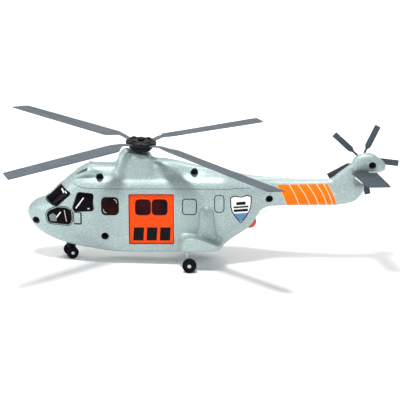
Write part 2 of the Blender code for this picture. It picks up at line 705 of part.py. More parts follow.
def interior(parent, inner_face):
    cabin_z = DOOR_Z0 - 0.6
    cockpit_z = cabin_z + 8.5
    clear_of_glazing = WALL + GLAZING + 3 * GAP
    floor = floor_plate("cabin_floor", (-42, -30, -16, 0, 20, 40, 60, 72), cabin_z,
                        inner_face + GAP, parent)
    x, z, _ = SCREWS[2]
    combine(floor, cylinder_y("boss", x, z, BOSS_RADIUS + GAP, -HALF_WIDTH - 9, HALF_WIDTH + 9),
            "DIFFERENCE")
    floor_plate("cockpit_floor", (-79, -70, -60, -50, -43), cockpit_z, clear_of_glazing + 0.4, parent)
    seat_y = 7.2
    for side, word in ((-1, "left"), (1, "right")):
        seat(word + "_pilot_seat", -56, side * seat_y, cockpit_z + GAP, 10.5, 11, 21, parent)
    bench("cabin_bench", 2, cabin_z + GAP, parent)
    panel = [(-78, cockpit_z + GAP), (-72, cockpit_z + GAP), (-71, 44), (-75, 47.5), (-78, 46)]
    half = side_at(-78, cockpit_z + 1, clear_of_glazing + 0.6)
    outline_prism("instrument_panel", panel, -half, half, "black_plastic", parent)
    wall_x = 75.5
    port = [(-side_at(wall_x + 1.2, z, WALL + 3 * GAP), z) for z in (22, 30, 42, 54, 66, 76)]
    ring = port + [(-y, z) for y, z in reversed(port)]
    loft("rear_bulkhead", [[(x, y, z) for y, z in ring] for x in (wall_x, wall_x + 1.2)],
         "interior_plastic", parent)


def seat(name, x, y, z, width, depth, height, parent):
    """Moulded seat: cushion and raked back in one piece."""
    outline = [(x - depth / 2, z), (x + depth / 2, z), (x + depth / 2 + 4, z + height),
               (x + depth / 2 + 1, z + height), (x + depth / 2 - 3.5, z + 7.5),
               (x - depth / 2, z + 8)]
    return outline_prism(name, outline, y - width / 2, y + width / 2, "interior_plastic", parent)


def bench(name, x, z, parent):
    """Fore-and-aft double bench along the cabin's middle."""
    outline = [(-6.5, z), (6.5, z), (6.5, z + 8), (1.6, z + 8.6), (0.9, z + 21), (-0.9, z + 21),
               (-1.6, z + 8.6), (-6.5, z + 8)]
    return loft(name, [[(at, y, h) for y, h in outline] for at in (x, x + 34)], "interior_plastic",
                parent)


# ---- main rotor ----
def main_rotor(parent):
    """Mast, hub, blades and pins, all turning about the tilted mast."""
    axis = bpy.data.objects.new("main_rotor_axis", None)
    bpy.context.scene.collection.objects.link(axis)
    axis.parent = parent
    axis.location = (MAST_X * MM, 0, MAST_Z * MM)
    axis.rotation_euler = (0, math.radians(MAST_TILT), 0)
    base = HUB_Z - MAST_Z
    turned("mast", [(MAST_RADIUS, -11), (MAST_RADIUS, base + HUB_HEIGHT - 0.6)], "steel", axis)
    ring_solid("mast_clip", [(MAST_RADIUS + 0.1, -9.4), (4.2, -9.4), (4.2, -8.2),
                             (MAST_RADIUS + 0.1, -8.2)], "steel", axis)
    ring_solid("swash_ring", [(MAST_RADIUS + 0.1, base - 2.4), (9.4, base - 2.4), (10, base - 1.8),
                              (10, base - 1), (7, base - GAP), (MAST_RADIUS + 0.1, base - GAP)],
               "black_plastic", axis)
    hub = ring_solid("rotor_hub", [(MAST_RADIUS + 0.1, base), (HUB_RADIUS - 0.8, base),
                                   (HUB_RADIUS, base + 0.8), (HUB_RADIUS, base + HUB_HEIGHT - 1.2),
                                   (HUB_RADIUS - 1.2, base + HUB_HEIGHT),
                                   (MAST_RADIUS + 0.1, base + HUB_HEIGHT)], "black_plastic", axis, 32)
    turned("hub_nut", [(3.4, base + HUB_HEIGHT + GAP), (3.4, base + HUB_HEIGHT + 2.2),
                       (2.4, base + HUB_HEIGHT + 2.9)], "black_plastic", axis, 6)
    seat_z = base + 1.6
    hole_profile = [(PIN_HOLE_RADIUS, base - 2), (PIN_HOLE_RADIUS, base + 9)]
    cap = base + HUB_HEIGHT + GAP
    for k in range(BLADES):
        angle = ROTOR_PHASE + 90 * k
        slot = blade_solid("slot", GAP, seat_z)
        slot.rotation_euler = (0, 0, math.radians(angle))
        combine(hub, slot, "DIFFERENCE")
        spot = Vector((PIN_REACH, 0, 0))
        spot.rotate(Euler((0, 0, math.radians(angle))))
        hole = turned("hole", hole_profile, steps=12)
        hole.location = spot * MM
        combine(hub, hole, "DIFFERENCE")
        blade = blade_solid("blade_%d" % (k + 1), 0.0, seat_z)
        blade.data.materials.append(material("rotor_plastic", *FINISH["rotor_plastic"]))
        combine(blade, place(turned("hole", hole_profile, steps=12), PIN_REACH), "DIFFERENCE")
        blade.rotation_euler = (0, 0, math.radians(angle))
        blade.parent = axis
        pin = turned("blade_pin_%d" % (k + 1), [(PIN_RADIUS, base + 0.2), (PIN_RADIUS, cap), (1.9, cap),
                                                (1.9, cap + 0.6), (1.2, cap + 0.9)], "steel", axis, 12)
        pin.location = spot * MM
    return axis


def blade_solid(name, grow, seat_z):
    """Blade along +X: flat root lug, rising arm, twist at the elbow, drooping plank, slanted tip."""
    droop = math.tan(math.radians(BLADE_DROOP))
    # radius, lead edge, trail edge, height of the middle, drop of the trailing edge
    sections = [(PIN_REACH - 3.6, 1.6, -1.6, 0, 0), (PIN_REACH - 2.6, 3, -3, 0, 0),
                (PIN_REACH + 2, 3, -3, 0, 0), (HUB_RADIUS + 3, 2.6, -2.6, ELBOW_RISE * 0.3, 0),
                (26, 2.8, -3.2, ELBOW_RISE, 0.2), (32, 4.4, -6.4, ELBOW_RISE, 1.2),
                (38, 5, -BLADE_CHORD + 5, ELBOW_RISE * 0.9, 1.6)]
    tip_lead, tip_trail = ROTOR_RADIUS - 5, ROTOR_RADIUS + 2.5
    rings = []
    for r, lead, trail, rise, fall in sections:
        thick = BLADE_THICK / 2 + grow
        reach = grow if r > PIN_REACH else -grow
        at = r + reach
        rings.append(blade_ring(at, at, lead + grow, trail - grow, seat_z + rise, fall, thick))
    if grow:
        rings = rings[:5]
    else:
        for t in (0.5, 1.0):
            lead_r, trail_r = 38 + (tip_lead - 38) * t, 38 + (tip_trail - 38) * t
            rise = ELBOW_RISE * 0.9 - (lead_r - 38) * droop
            rings.append(blade_ring(lead_r, trail_r, 5, -BLADE_CHORD + 5, seat_z + rise, 1.6 - 0.9 * t,
                                    BLADE_THICK / 2))
    return loft(name, rings)


def blade_ring(lead_r, trail_r, lead, trail, height, fall, thick):
    """Five-sided aerofoil-like section; the leading edge is on the -Y side."""
    crown = -(lead * 0.75 + trail * 0.25)
    crown_r = lead_r * 0.75 + trail_r * 0.25
    return [(lead_r, -lead, height), (crown_r, crown, height + thick),
            (trail_r, -trail, height - fall + thick * 0.6), (trail_r, -trail, height - fall - thick * 0.6),
            (crown_r, crown, height - thick)]


# ---- tail ----
def tail_rotor(parent):
    axis = bpy.data.objects.new("tail_rotor_axis", None)
    bpy.context.scene.collection.objects.link(axis)
    axis.parent = parent
    axis.location = (TAIL_ROTOR_X * MM, 0, TAIL_ROTOR_Z * MM)
    rotor = ring_solid("tail_rotor", [(TAIL_AXLE_RADIUS + 0.1, TAIL_ROTOR_Y - 2.2),
                                      (4, TAIL_ROTOR_Y - 2.2), (4.4, TAIL_ROTOR_Y - 1),
                                      (4.4, TAIL_ROTOR_Y + 1), (3.4, TAIL_ROTOR_Y + 1.8),
                                      (TAIL_AXLE_RADIUS + 0.1, TAIL_ROTOR_Y + 1.8)],
                       "grey_plastic", axis, axis="Y")
    for k in range(TAIL_BLADES):
        rings = []
        for r, half, thick in ((3, 1, 1.2), (10.5, 1, 1.1), (13.5, TAIL_CHORD / 2, 0.9),
                               (TAIL_ROTOR_RADIUS, TAIL_CHORD / 2, 0.8)):
            rings.append([(r, TAIL_ROTOR_Y - thick / 2 - half * 0.12, -half),
                          (r, TAIL_ROTOR_Y + thick / 2 - half * 0.12, -half),
                          (r, TAIL_ROTOR_Y + thick / 2 + half * 0.12, half),
                          (r, TAIL_ROTOR_Y - thick / 2 + half * 0.12, half)])
        blade = loft("tail_blade", rings)
        blade.rotation_euler = (0, -math.radians(TAIL_ROTOR_PHASE + 360 * k / TAIL_BLADES), 0)
        combine(rotor, blade, "UNION")
    turned("tail_rotor_axle", [(TAIL_AXLE_RADIUS, 0.2), (TAIL_AXLE_RADIUS, TAIL_ROTOR_Y + 2.1),
                               (1.9, TAIL_ROTOR_Y + 2.1), (1.9, TAIL_ROTOR_Y + 2.7),
                               (1.2, TAIL_ROTOR_Y + 3.1)], "steel", axis, 16, "Y")
    return axis


def stabiliser(parent):
    """Tailplane on the port side; its tongue plugs into the pod at the fin's top."""
    rings = []
    for y, lead, trail, half in ((STAB_ROOT_Y, 193, 216.6, 1), (STAB_TIP_Y, 204.4, 226.2, 0.7)):
        rings.append([(lead, y, STAB_Z - 0.2), (lead + 2.5, y, STAB_Z - half),
                      (trail, y, STAB_Z - half * 0.6), (trail, y, STAB_Z + half * 0.6),
                      (lead + 2.5, y, STAB_Z + half), (lead, y, STAB_Z + 0.2)])
    plate = loft("stabiliser", rings, "grey_plastic", parent)
    tongue = box("tongue", STAB_X0, STAB_X1, STAB_ROOT_Y - 2, -1.2 - GAP, STAB_Z - STAB_TONGUE / 2,
                 STAB_Z + STAB_TONGUE / 2)
    combine(plate, tongue, "UNION")
    return plate


# ---- undercarriage ----
def wheel(name, radius, width, bore, finish, parent):
    """Moulded wheel with a rounded tread."""
    w = width / 2
    return ring_solid(name, [(bore, -w * 0.8), (radius * 0.62, -w * 0.8), (radius * 0.7, -w),
                             (radius * 0.88, -w), (radius, -w * 0.55), (radius, w * 0.55),
                             (radius * 0.88, w), (radius * 0.7, w), (radius * 0.62, w * 0.8),
                             (bore, w * 0.8)], finish, parent, 18, "Y")


def main_gear(parent):
    z = wheel_height(MAIN_GEAR_X, MAIN_WHEEL_RADIUS)
    rim = MAIN_WHEEL_RADIUS * 0.56
    w = MAIN_WHEEL_WIDTH / 2
    for side, word in ((-1, "left"), (1, "right")):
        axis = bpy.data.objects.new(word + "_main_axis", None)
        bpy.context.scene.collection.objects.link(axis)
        axis.parent = parent
        axis.location = (MAIN_GEAR_X * MM, side * wheel_y() * MM, z * MM)
        wheel(word + "_main_tyre", MAIN_WHEEL_RADIUS, MAIN_WHEEL_WIDTH, rim + 0.1, "tyre", axis)
        ring_solid(word + "_main_rim", [(AXLE_RADIUS + RUNNING, -w * 0.7), (rim, -w * 0.7),
                                        (rim, w * 0.7), (AXLE_RADIUS + RUNNING, w * 0.7)],
                   "pale_plastic", axis, 18, "Y")
        leg(word, side, z, parent)
        inner, outer = side * (leg_y() - LEG_HALF - 0.6), side * (wheel_y() + w * 0.7 + 0.3)
        head = outer + side * 0.7
        axle = turned(word + "_main_axle", [(AXLE_RADIUS, inner), (AXLE_RADIUS, outer), (1.8, outer),
                                            (1.6, head)], "steel", parent, 16, "Y")
        place(axle, MAIN_GEAR_X, 0, z)


def leg(word, side, axle_z, parent):
    """Square strut from its socket in the sponson down to the axle eye."""
    y = side * leg_y()
    h = LEG_HALF
    top_x = MAIN_GEAR_X - LEG_RAKE
    rings = [[(cx - h, y - h, z), (cx + h, y - h, z), (cx + h, y + h, z), (cx - h, y + h, z)]
             for cx, z in ((MAIN_GEAR_X, axle_z - 2), (MAIN_GEAR_X, axle_z + 2.4), (top_x, axle_z + 6),
                           (top_x, LEG_TOP_Z))]
    made = loft(word + "_main_leg", rings, "pale_plastic", parent)
    eye = cylinder_y("eye", MAIN_GEAR_X, axle_z, AXLE_RADIUS + RUNNING, -60, 60, 14)
    return combine(made, eye, "DIFFERENCE")


def nose_gear(parent):
    """Twin-wheel leg that swivels in a socket under the cockpit."""
    z = wheel_height(NOSE_GEAR_X, NOSE_WHEEL_RADIUS)
    swivel = bpy.data.objects.new("nose_swivel_axis", None)
    bpy.context.scene.collection.objects.link(swivel)
    swivel.parent = parent
    swivel.location = (NOSE_GEAR_X * MM, 0, 0)
    swivel.rotation_euler = (0, 0, math.radians(NOSE_GEAR_YAW))
    belly = curve_at(BELLY, NOSE_GEAR_X)
    half = NOSE_WHEEL_SPACING / 2 - NOSE_WHEEL_WIDTH / 2 - 0.35
    fork = turned("nose_leg", [(2.4, z - 1.5), (3, z), (3, z + 4), (4.4, belly - 3.4), (4.4, belly - 1.6),
                               (NOSE_PIVOT, belly - 1.6), (NOSE_PIVOT, belly + 5.6)],
                  "black_plastic", swivel, 18)
    bar = turned("bar", [(2.3, -half), (2.3, half)], steps=14, axis="Y")
    combine(fork, place(bar, 0, 0, z), "UNION")
    bore = turned("bore", [(AXLE_RADIUS + RUNNING, -20), (AXLE_RADIUS + RUNNING, 20)], steps=14, axis="Y")
    combine(fork, place(bore, 0, 0, z), "DIFFERENCE")
    spin = bpy.data.objects.new("nose_wheel_axis", None)
    bpy.context.scene.collection.objects.link(spin)
    spin.parent = swivel
    spin.location = (0, 0, z * MM)
    end = NOSE_WHEEL_SPACING / 2 + NOSE_WHEEL_WIDTH * 0.4 + 0.3
    turned("nose_axle", [(1.5, -end - 0.5), (1.7, -end), (AXLE_RADIUS, -end), (AXLE_RADIUS, end),
                         (1.7, end), (1.5, end + 0.5)], "steel", spin, 16, "Y")
    for side, word in ((-1, "left"), (1, "right")):
        made = wheel(word + "_nose_wheel", NOSE_WHEEL_RADIUS, NOSE_WHEEL_WIDTH, AXLE_RADIUS + 0.05,
                     "tyre", spin)
        place(made, 0, side * NOSE_WHEEL_SPACING / 2, 0)


# ---- winch ----
def winch(parent):
    """Thumbwheel of the belly winch; its rim stands out of the sloping belly."""
    axis = bpy.data.objects.new("winch_axis", None)
    bpy.context.scene.collection.objects.link(axis)
    axis.parent = parent
    axis.location = (WINCH_X * MM, 0, WINCH_Z * MM)
    w = WINCH_WHEEL_WIDTH / 2
    bore, hub, rim = WINCH_AXLE_RADIUS + 0.05, WINCH_HUB_RADIUS, WINCH_WHEEL_RADIUS
    end = w + WINCH_HUB_REACH
    ring_solid("winch_wheel", [(bore, -end), (hub, -end), (hub, -w), (rim - 0.4, -w), (rim, -w + 0.4),
                               (rim, w - 0.4), (rim - 0.4, w), (hub, w), (hub, end), (bore, end)],
               "red_plastic", axis, 22, "Y")
    turned("winch_axle", [(WINCH_AXLE_RADIUS, -winch_reach()), (WINCH_AXLE_RADIUS, winch_reach())],
           "steel", axis, 14, "Y")
    return axis


def mast_bush(parent):
    bush = ring_solid("mast_bush", [(MAST_RADIUS + RUNNING, -6.4), (4.6, -6.4), (4.6, -5.4),
                                    (BUSH_RADIUS, -5.4), (BUSH_RADIUS, 8.2),
                                    (MAST_RADIUS + RUNNING, 8.2)], "brass", parent)
    return place(bush, MAST_X, 0, MAST_Z, (0, MAST_TILT, 0))


def stand_on_ground(airframe):
    """Pitch the airframe on its wheels and put the origin under the middle of the whole model."""
    airframe.rotation_euler = (0, -math.radians(STANCE), 0)
    bpy.context.view_layer.update()
    corners = [item.matrix_world @ v.co for item in bpy.context.scene.objects if item.type == "MESH"
               for v in item.data.vertices]
    low = [min(c[i] for c in corners) for i in range(3)]
    high = [max(c[i] for c in corners) for i in range(3)]
    airframe.location = (-(low[0] + high[0]) / 2, -(low[1] + high[1]) / 2, -low[2])


def main():
    reset_scene()
    airframe = bpy.data.objects.new("airframe", None)
    bpy.context.scene.collection.objects.link(airframe)
    blank = half_shell("blank", None)
    left_shell(airframe, blank)
    right_shell(airframe, blank)
    bpy.data.objects.remove(blank, do_unlink=True)
    shell_screws(airframe)
    cockpit_glazing(airframe)
    cabin_windows(airframe)
    doors(airframe)
    inner_face = door_guides(airframe)
    interior(airframe, inner_face)
    mast_bush(airframe)
    main_rotor(airframe)
    tail_rotor(airframe)
    stabiliser(airframe)
    main_gear(airframe)
    nose_gear(airframe)
    winch(airframe)
    stand_on_ground(airframe)


main()
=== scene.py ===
import bisect
import json
import math

import bmesh
import bpy
from mathutils import Matrix, Vector
from mathutils.bvhtree import BVHTree


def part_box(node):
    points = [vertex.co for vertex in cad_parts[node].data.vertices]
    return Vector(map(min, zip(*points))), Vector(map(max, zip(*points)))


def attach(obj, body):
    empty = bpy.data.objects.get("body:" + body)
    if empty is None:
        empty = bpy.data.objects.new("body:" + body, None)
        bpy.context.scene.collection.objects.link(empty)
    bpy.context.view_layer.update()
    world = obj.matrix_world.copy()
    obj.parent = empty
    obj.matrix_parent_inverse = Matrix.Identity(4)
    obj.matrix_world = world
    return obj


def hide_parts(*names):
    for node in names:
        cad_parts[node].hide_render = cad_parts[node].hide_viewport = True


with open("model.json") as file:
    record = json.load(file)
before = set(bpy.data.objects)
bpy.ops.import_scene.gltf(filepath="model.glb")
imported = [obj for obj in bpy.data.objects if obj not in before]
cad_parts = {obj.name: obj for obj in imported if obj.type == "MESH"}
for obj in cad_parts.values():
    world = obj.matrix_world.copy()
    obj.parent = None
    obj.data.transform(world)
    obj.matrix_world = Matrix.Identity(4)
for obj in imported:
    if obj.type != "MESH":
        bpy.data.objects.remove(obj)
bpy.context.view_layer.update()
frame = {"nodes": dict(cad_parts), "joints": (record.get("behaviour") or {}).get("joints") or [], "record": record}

# the airframe's own axes: millimetres, X aft, Y starboard, Z up, mast near zero
joints = {joint["name"]: joint for joint in frame["joints"]}
datum = {"tailRotorX": 203.0, "tailRotorZ": 93.0, "halfWidth": 21.5, "seam": 0.15, "wall": 1.2}
aft = Vector(joints["left_door_slide"]["axis"]).normalized()
upward = Vector(joints["nose_swivel"]["axis"]).normalized()
airframeTurn = Matrix((aft, Vector((0, 1, 0)), upward)).transposed()
tailHub = Vector(joints["tail_rotor_spin"]["pos_m"])
airframeOrigin = tailHub - airframeTurn @ Vector((datum["tailRotorX"], 0, datum["tailRotorZ"])) * 0.001
airframeMatrix = Matrix.Translation(airframeOrigin) @ airframeTurn.to_4x4() @ Matrix.Scale(0.001, 4)
print("airframe datum at", [round(v, 5) for v in airframeOrigin])


# mesh helpers
def makeObject(name, verts, faces, finish=None, sharp=35):
    mesh = bpy.data.meshes.new(name)
    mesh.from_pydata([tuple(v) for v in verts], [], faces)
    work = bmesh.new()
    work.from_mesh(mesh)
    bmesh.ops.remove_doubles(work, verts=work.verts, dist=1e-4)
    bmesh.ops.recalc_face_normals(work, faces=work.faces)
    work.to_mesh(mesh)
    work.free()
    made = bpy.data.objects.new(name, mesh)
    bpy.context.scene.collection.objects.link(made)
    if finish:
        mesh.materials.append(finish)
    smoothen(made, sharp)
    return made


def smoothen(item, sharp=35):
    item.data.shade_smooth()
    item.data.set_sharp_from_angle(angle=math.radians(sharp))


def loft(name, rings, finish=None, closed=True, sharp=35):
    # a skin through rings of equal point counts, with flat ends
    count = len(rings[0])
    verts = [p for ring in rings for p in ring]
    faces = []
    for r in range(len(rings) - 1):
        for i in range(count):
            j = (i + 1) % count
            faces.append([r * count + i, r * count + j, (r + 1) * count + j, (r + 1) * count + i])
    if closed:
        faces.append(list(range(count))[::-1])
        faces.append([(len(rings) - 1) * count + i for i in range(count)])
    return makeObject(name, verts, faces, finish, sharp)


def sheet(name, outer, inner, finish=None, sharp=35):
    # a closed solid between two grids of points
    rows, cols = len(outer), len(outer[0])
    verts = [p for row in outer for p in row] + [p for row in inner for p in row]
    half = rows * cols
    faces = []
    for r in range(rows - 1):
        for c in range(cols - 1):
            a, b = r * cols + c, (r + 1) * cols + c
            faces.append([a, a + 1, b + 1, b])
            faces.append([half + a, half + b, half + b + 1, half + a + 1])
    rim = ([(0, c) for c in range(cols)] + [(r, cols - 1) for r in range(1, rows)]
           + [(rows - 1, c) for c in range(cols - 2, -1, -1)] + [(r, 0) for r in range(rows - 2, 0, -1)])
    for k, (r, c) in enumerate(rim):
        r2, c2 = rim[(k + 1) % len(rim)]
        a, b = r * cols + c, r2 * cols + c2
        faces.append([a, half + a, half + b, b])
    return makeObject(name, verts, faces, finish, sharp)


def lathe(name, profile, finish=None, steps=48, axis="Z", closed=False, sharp=35):
    # a turned piece; closed=True joins the profile's ends, which leaves a bore
    verts, faces = [], []
    count = len(profile)
    for k in range(steps):
        a = 2 * math.pi * k / steps
        for radius, height in profile:
            c, s = max(radius, 0.0005) * math.cos(a), max(radius, 0.0005) * math.sin(a)
            verts.append((c, s, height) if axis == "Z" else (c, height, s))
    for k in range(steps):
        n = (k + 1) % steps
        for i in range(count if closed else count - 1):
            j = (i + 1) % count
            faces.append([k * count + i, k * count + j, n * count + j, n * count + i])
    if not closed:
        faces.append([k * count for k in range(steps)][::-1])
        faces.append([k * count + count - 1 for k in range(steps)])
    return makeObject(name, verts, faces, finish, sharp)


def prism(name, outline, y0, y1, finish=None):
    return loft(name, [[(x, y, z) for x, z in outline] for y in (y0, y1)], finish)


def block(name, low, high, finish=None):
    (x0, y0, z0), (x1, y1, z1) = low, high
    return loft(name, [[(x0, y0, z), (x1, y0, z), (x1, y1, z), (x0, y1, z)] for z in (z0, z1)], finish)


def moveTo(item, x=0.0, y=0.0, z=0.0, turn=None):
    item.data.transform(Matrix.Translation((x, y, z)) @ (turn.to_4x4() if turn else Matrix()))
    return item


def combine(target, other, operation="DIFFERENCE"):
    step = target.modifiers.new("join", "BOOLEAN")
    step.object = other
    step.operation = operation
    step.solver = "EXACT"
    step.material_mode = "TRANSFER"
    bpy.context.view_layer.update()
    shape = bpy.data.meshes.new_from_object(target.evaluated_get(bpy.context.evaluated_depsgraph_get()))
    target.modifiers.clear()
    target.data = shape
    bpy.data.objects.remove(other, do_unlink=True)
    return target


def joinPieces(name, items):
    # several loose shapes as one piece
    work = bmesh.new()
    finishes = []
    for item in items:
        start = len(work.faces)
        work.from_mesh(item.data)
        work.faces.ensure_lookup_table()
        slots = [m for m in item.data.materials]
        for face in work.faces[start:]:
            paint = slots[face.material_index] if slots else None
            if paint not in finishes:
                finishes.append(paint)
            face.material_index = finishes.index(paint)
    mesh = bpy.data.meshes.new(name)
    work.to_mesh(mesh)
    work.free()
    for paint in finishes:
        mesh.materials.append(paint)
    for item in items:
        bpy.data.objects.remove(item, do_unlink=True)
    made = bpy.data.objects.new(name, mesh)
    bpy.context.scene.collection.objects.link(made)
    smoothen(made)
    return made


def mirrored(item, name):
    mesh = item.data.copy()
    mesh.transform(Matrix.Scale(-1, 4, (0, 1, 0)))
    mesh.flip_normals()
    made = bpy.data.objects.new(name, mesh)
    bpy.context.scene.collection.objects.link(made)
    return made


def fitPiece(item, body, replaced=(), matrix=None):
    # from millimetres into the model's frame, then onto its body
    item.data.transform(matrix or airframeMatrix)
    smoothen(item)
    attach(item, body)
    if replaced:
        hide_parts(*replaced)
    return item


def roundOutline(outline, radius, steps=4):
    # corners of a flat outline turned into short curves
    points = []
    count = len(outline)
    for i in range(count):
        here = Vector(outline[i])
        before, after = Vector(outline[i - 1]) - here, Vector(outline[(i + 1) % count]) - here
        reach = min(radius, before.length * 0.45, after.length * 0.45)
        a, b = here + before.normalized() * reach, here + after.normalized() * reach
        for k in range(steps + 1):
            t = k / steps
            points.append(tuple((1 - t) ** 2 * a + 2 * t * (1 - t) * here + t**2 * b))
    return points


def roundRect(x0, x1, z0, z1, radius, steps=4):
    return roundOutline([(x1, z1), (x0, z1), (x0, z0), (x1, z0)], radius, steps)


def insetOutline(outline, gap):
    # a gap below zero moves the outline outwards
    count = len(outline)
    area = sum(outline[i - 1][0] * outline[i][1] - outline[i][0] * outline[i - 1][1] for i in range(count))
    turn = 1 if area > 0 else -1
    moved = []
    for i in range(count):
        before, here = Vector(outline[i - 1]), Vector(outline[i])
        after = Vector(outline[(i + 1) % count])
        n0 = Vector((-(here - before).y, (here - before).x)).normalized() * turn
        n1 = Vector((-(after - here).y, (after - here).x)).normalized() * turn
        middle = (n0 + n1).normalized()
        moved.append(tuple(here + middle * gap / max(0.5, middle.dot(n0))))
    return moved


def densify(points, step, closed=True):
    dense = []
    last = len(points) if closed else len(points) - 1
    for i in range(last):
        a, b = Vector(points[i]), Vector(points[(i + 1) % len(points)])
        parts = max(1, math.ceil((b - a).length / step))
        dense += [tuple(a.lerp(b, k / parts)) for k in range(parts)]
    if not closed:
        dense.append(tuple(points[-1]))
    return dense


def smoothCurve(points):
    # monotone cubic through given points
    xs = [p[0] for p in points]
    last = len(points) - 1
    slopes = [(points[i + 1][1] - points[i][1]) / (points[i + 1][0] - points[i][0]) for i in range(last)]
    tangents = [slopes[0]]
    for before, after in zip(slopes, slopes[1:]):
        tangents.append(0.0 if before * after <= 0 else 2 * before * after / (before + after))
    tangents.append(slopes[-1])

    def value(x):
        x = min(max(x, xs[0]), xs[-1])
        i = min(max(bisect.bisect_right(xs, x) - 1, 0), last - 1)
        span = xs[i + 1] - xs[i]
        t = (x - xs[i]) / span
        return ((2 * t**3 - 3 * t**2 + 1) * points[i][1] + (t**3 - 2 * t**2 + t) * span * tangents[i]
                + (3 * t**2 - 2 * t**3) * points[i + 1][1] + (t**3 - t**2) * span * tangents[i + 1])
    return value


# finishes
def newFinish(name, colour, roughness, metallic=0.0, coat=0.0, specular=0.5):
    made = bpy.data.materials.new(name)
    made.use_nodes = True
    shader = made.node_tree.nodes["Principled BSDF"]
    shader.inputs["Base Color"].default_value = (*colour, 1)
    shader.inputs["Roughness"].default_value = roughness
    shader.inputs["Metallic"].default_value = metallic
    shader.inputs["Coat Weight"].default_value = coat
    shader.inputs["Coat Roughness"].default_value = 0.12
    shader.inputs["Specular IOR Level"].default_value = specular
    return made, shader


def addNode(made, kind, **values):
    node = made.node_tree.nodes.new(kind)
    for key, value in values.items():
        setattr(node, key, value)
    return node


def noiseOf(made, scale, detail=3.0, stretch=(1, 1, 1), roughness=0.55):
    # grain measured in the object's own metres
    place = addNode(made, "ShaderNodeTexCoord")
    mapping = addNode(made, "ShaderNodeMapping")
    mapping.inputs["Scale"].default_value = stretch
    noise = addNode(made, "ShaderNodeTexNoise")
    noise.inputs["Scale"].default_value = scale
    noise.inputs["Detail"].default_value = detail
    noise.inputs["Roughness"].default_value = roughness
    link = made.node_tree.links.new
    link(place.outputs["Object"], mapping.inputs["Vector"])
    link(mapping.outputs["Vector"], noise.inputs["Vector"])
    return noise


def rampOf(made, source, stops):
    ramp = addNode(made, "ShaderNodeValToRGB")
    made.node_tree.links.new(source, ramp.inputs["Fac"])
    while len(ramp.color_ramp.elements) > len(stops):
        ramp.color_ramp.elements.remove(ramp.color_ramp.elements[-1])
    while len(ramp.color_ramp.elements) < len(stops):
        ramp.color_ramp.elements.new(0.5)
    for element, (at, colour) in zip(ramp.color_ramp.elements, stops):
        element.position = at
        element.color = (*colour, 1)
    return ramp


def rangeOf(made, source, low, high, start=0.3, end=0.7):
    spread = addNode(made, "ShaderNodeMapRange")
    spread.inputs["From Min"].default_value = start
    spread.inputs["From Max"].default_value = end
    spread.inputs["To Min"].default_value = low
    spread.inputs["To Max"].default_value = high
    made.node_tree.links.new(source, spread.inputs["Value"])
    return spread


def mixOf(made, factor, first, second, mode="MIX"):
    mix = addNode(made, "ShaderNodeMix", data_type="RGBA", blend_type=mode)
    link = made.node_tree.links.new
    if isinstance(factor, float):
        mix.inputs[0].default_value = factor
    else:
        link(factor, mix.inputs[0])
    for socket, value in ((mix.inputs[6], first), (mix.inputs[7], second)):
        if isinstance(value, tuple):
            socket.default_value = (*value, 1)
        else:
            link(value, socket)
    return mix.outputs[2]


def bumpOf(made, shader, source, strength, distance):
    bump = addNode(made, "ShaderNodeBump")
    bump.inputs["Strength"].default_value = strength
    bump.inputs["Distance"].default_value = distance
    made.node_tree.links.new(source, bump.inputs["Height"])
    made.node_tree.links.new(bump.outputs["Normal"], shader.inputs["Normal"])
    return bump


def shadeOf(colour, factor):
    return tuple(min(1.0, c * factor) for c in colour)


def plasticFinish(name, colour, roughness, grain=900, relief=0.12, variation=0.12, coat=0.0, worn=None,
                  specular=0.25):
    # moulded plastic: a little cloudiness, fine texture and uneven gloss
    made, shader = newFinish(name, colour, roughness, coat=coat, specular=specular)
    link = made.node_tree.links.new
    cloud = noiseOf(made, 60, 4)
    tone = rampOf(made, cloud.outputs["Fac"], [(0.3, shadeOf(colour, 1 - variation)),
                                               (0.7, shadeOf(colour, 1 + variation))])
    shown = tone.outputs["Color"]
    if worn:
        scuff = noiseOf(made, 420, 2, (1, 1, 4))
        mark = rangeOf(made, scuff.outputs["Fac"], 0.0, 0.5, 0.66, 0.8)
        shown = mixOf(made, mark.outputs["Result"], shown, worn)
    link(shown, shader.inputs["Base Color"])
    fine = noiseOf(made, grain, 3)
    gloss = rangeOf(made, fine.outputs["Fac"], roughness * 0.85, min(1.0, roughness * 1.2))
    link(gloss.outputs["Result"], shader.inputs["Roughness"])
    bumpOf(made, shader, fine.outputs["Fac"], relief, 0.00005)
    return made


def silverFinish(values):
    # sprayed metallic paint over a casting: flakes, soft clouds and orange peel
    made, shader = newFinish("castSilver", values["colour"], values["roughness"], values["metal"],
                             values["coat"])
    link = made.node_tree.links.new
    flakes = noiseOf(made, values["flakeScale"], 2, roughness=0.7)
    flakeTone = rampOf(made, flakes.outputs["Fac"], [(0.32, shadeOf(values["colour"], 0.80)),
                                                     (0.52, values["colour"]),
                                                     (0.68, values["bright"])])
    clouds = noiseOf(made, 26, 3)
    cloudTone = rampOf(made, clouds.outputs["Fac"], [(0.3, (0.93, 0.95, 0.95)), (0.7, (1.0, 1.0, 1.0))])
    shown = mixOf(made, 1.0, flakeTone.outputs["Color"], cloudTone.outputs["Color"], "MULTIPLY")
    link(shown, shader.inputs["Base Color"])
    gloss = rangeOf(made, flakes.outputs["Fac"], values["roughness"] - 0.05, values["roughness"] + 0.09)
    link(gloss.outputs["Result"], shader.inputs["Roughness"])
    peel = noiseOf(made, 520, 2)
    joined = addNode(made, "ShaderNodeMath", operation="ADD")
    link(peel.outputs["Fac"], joined.inputs[0])
    link(flakes.outputs["Fac"], joined.inputs[1])
    bumpOf(made, shader, joined.outputs["Value"], 0.16, 0.00008)
    return made


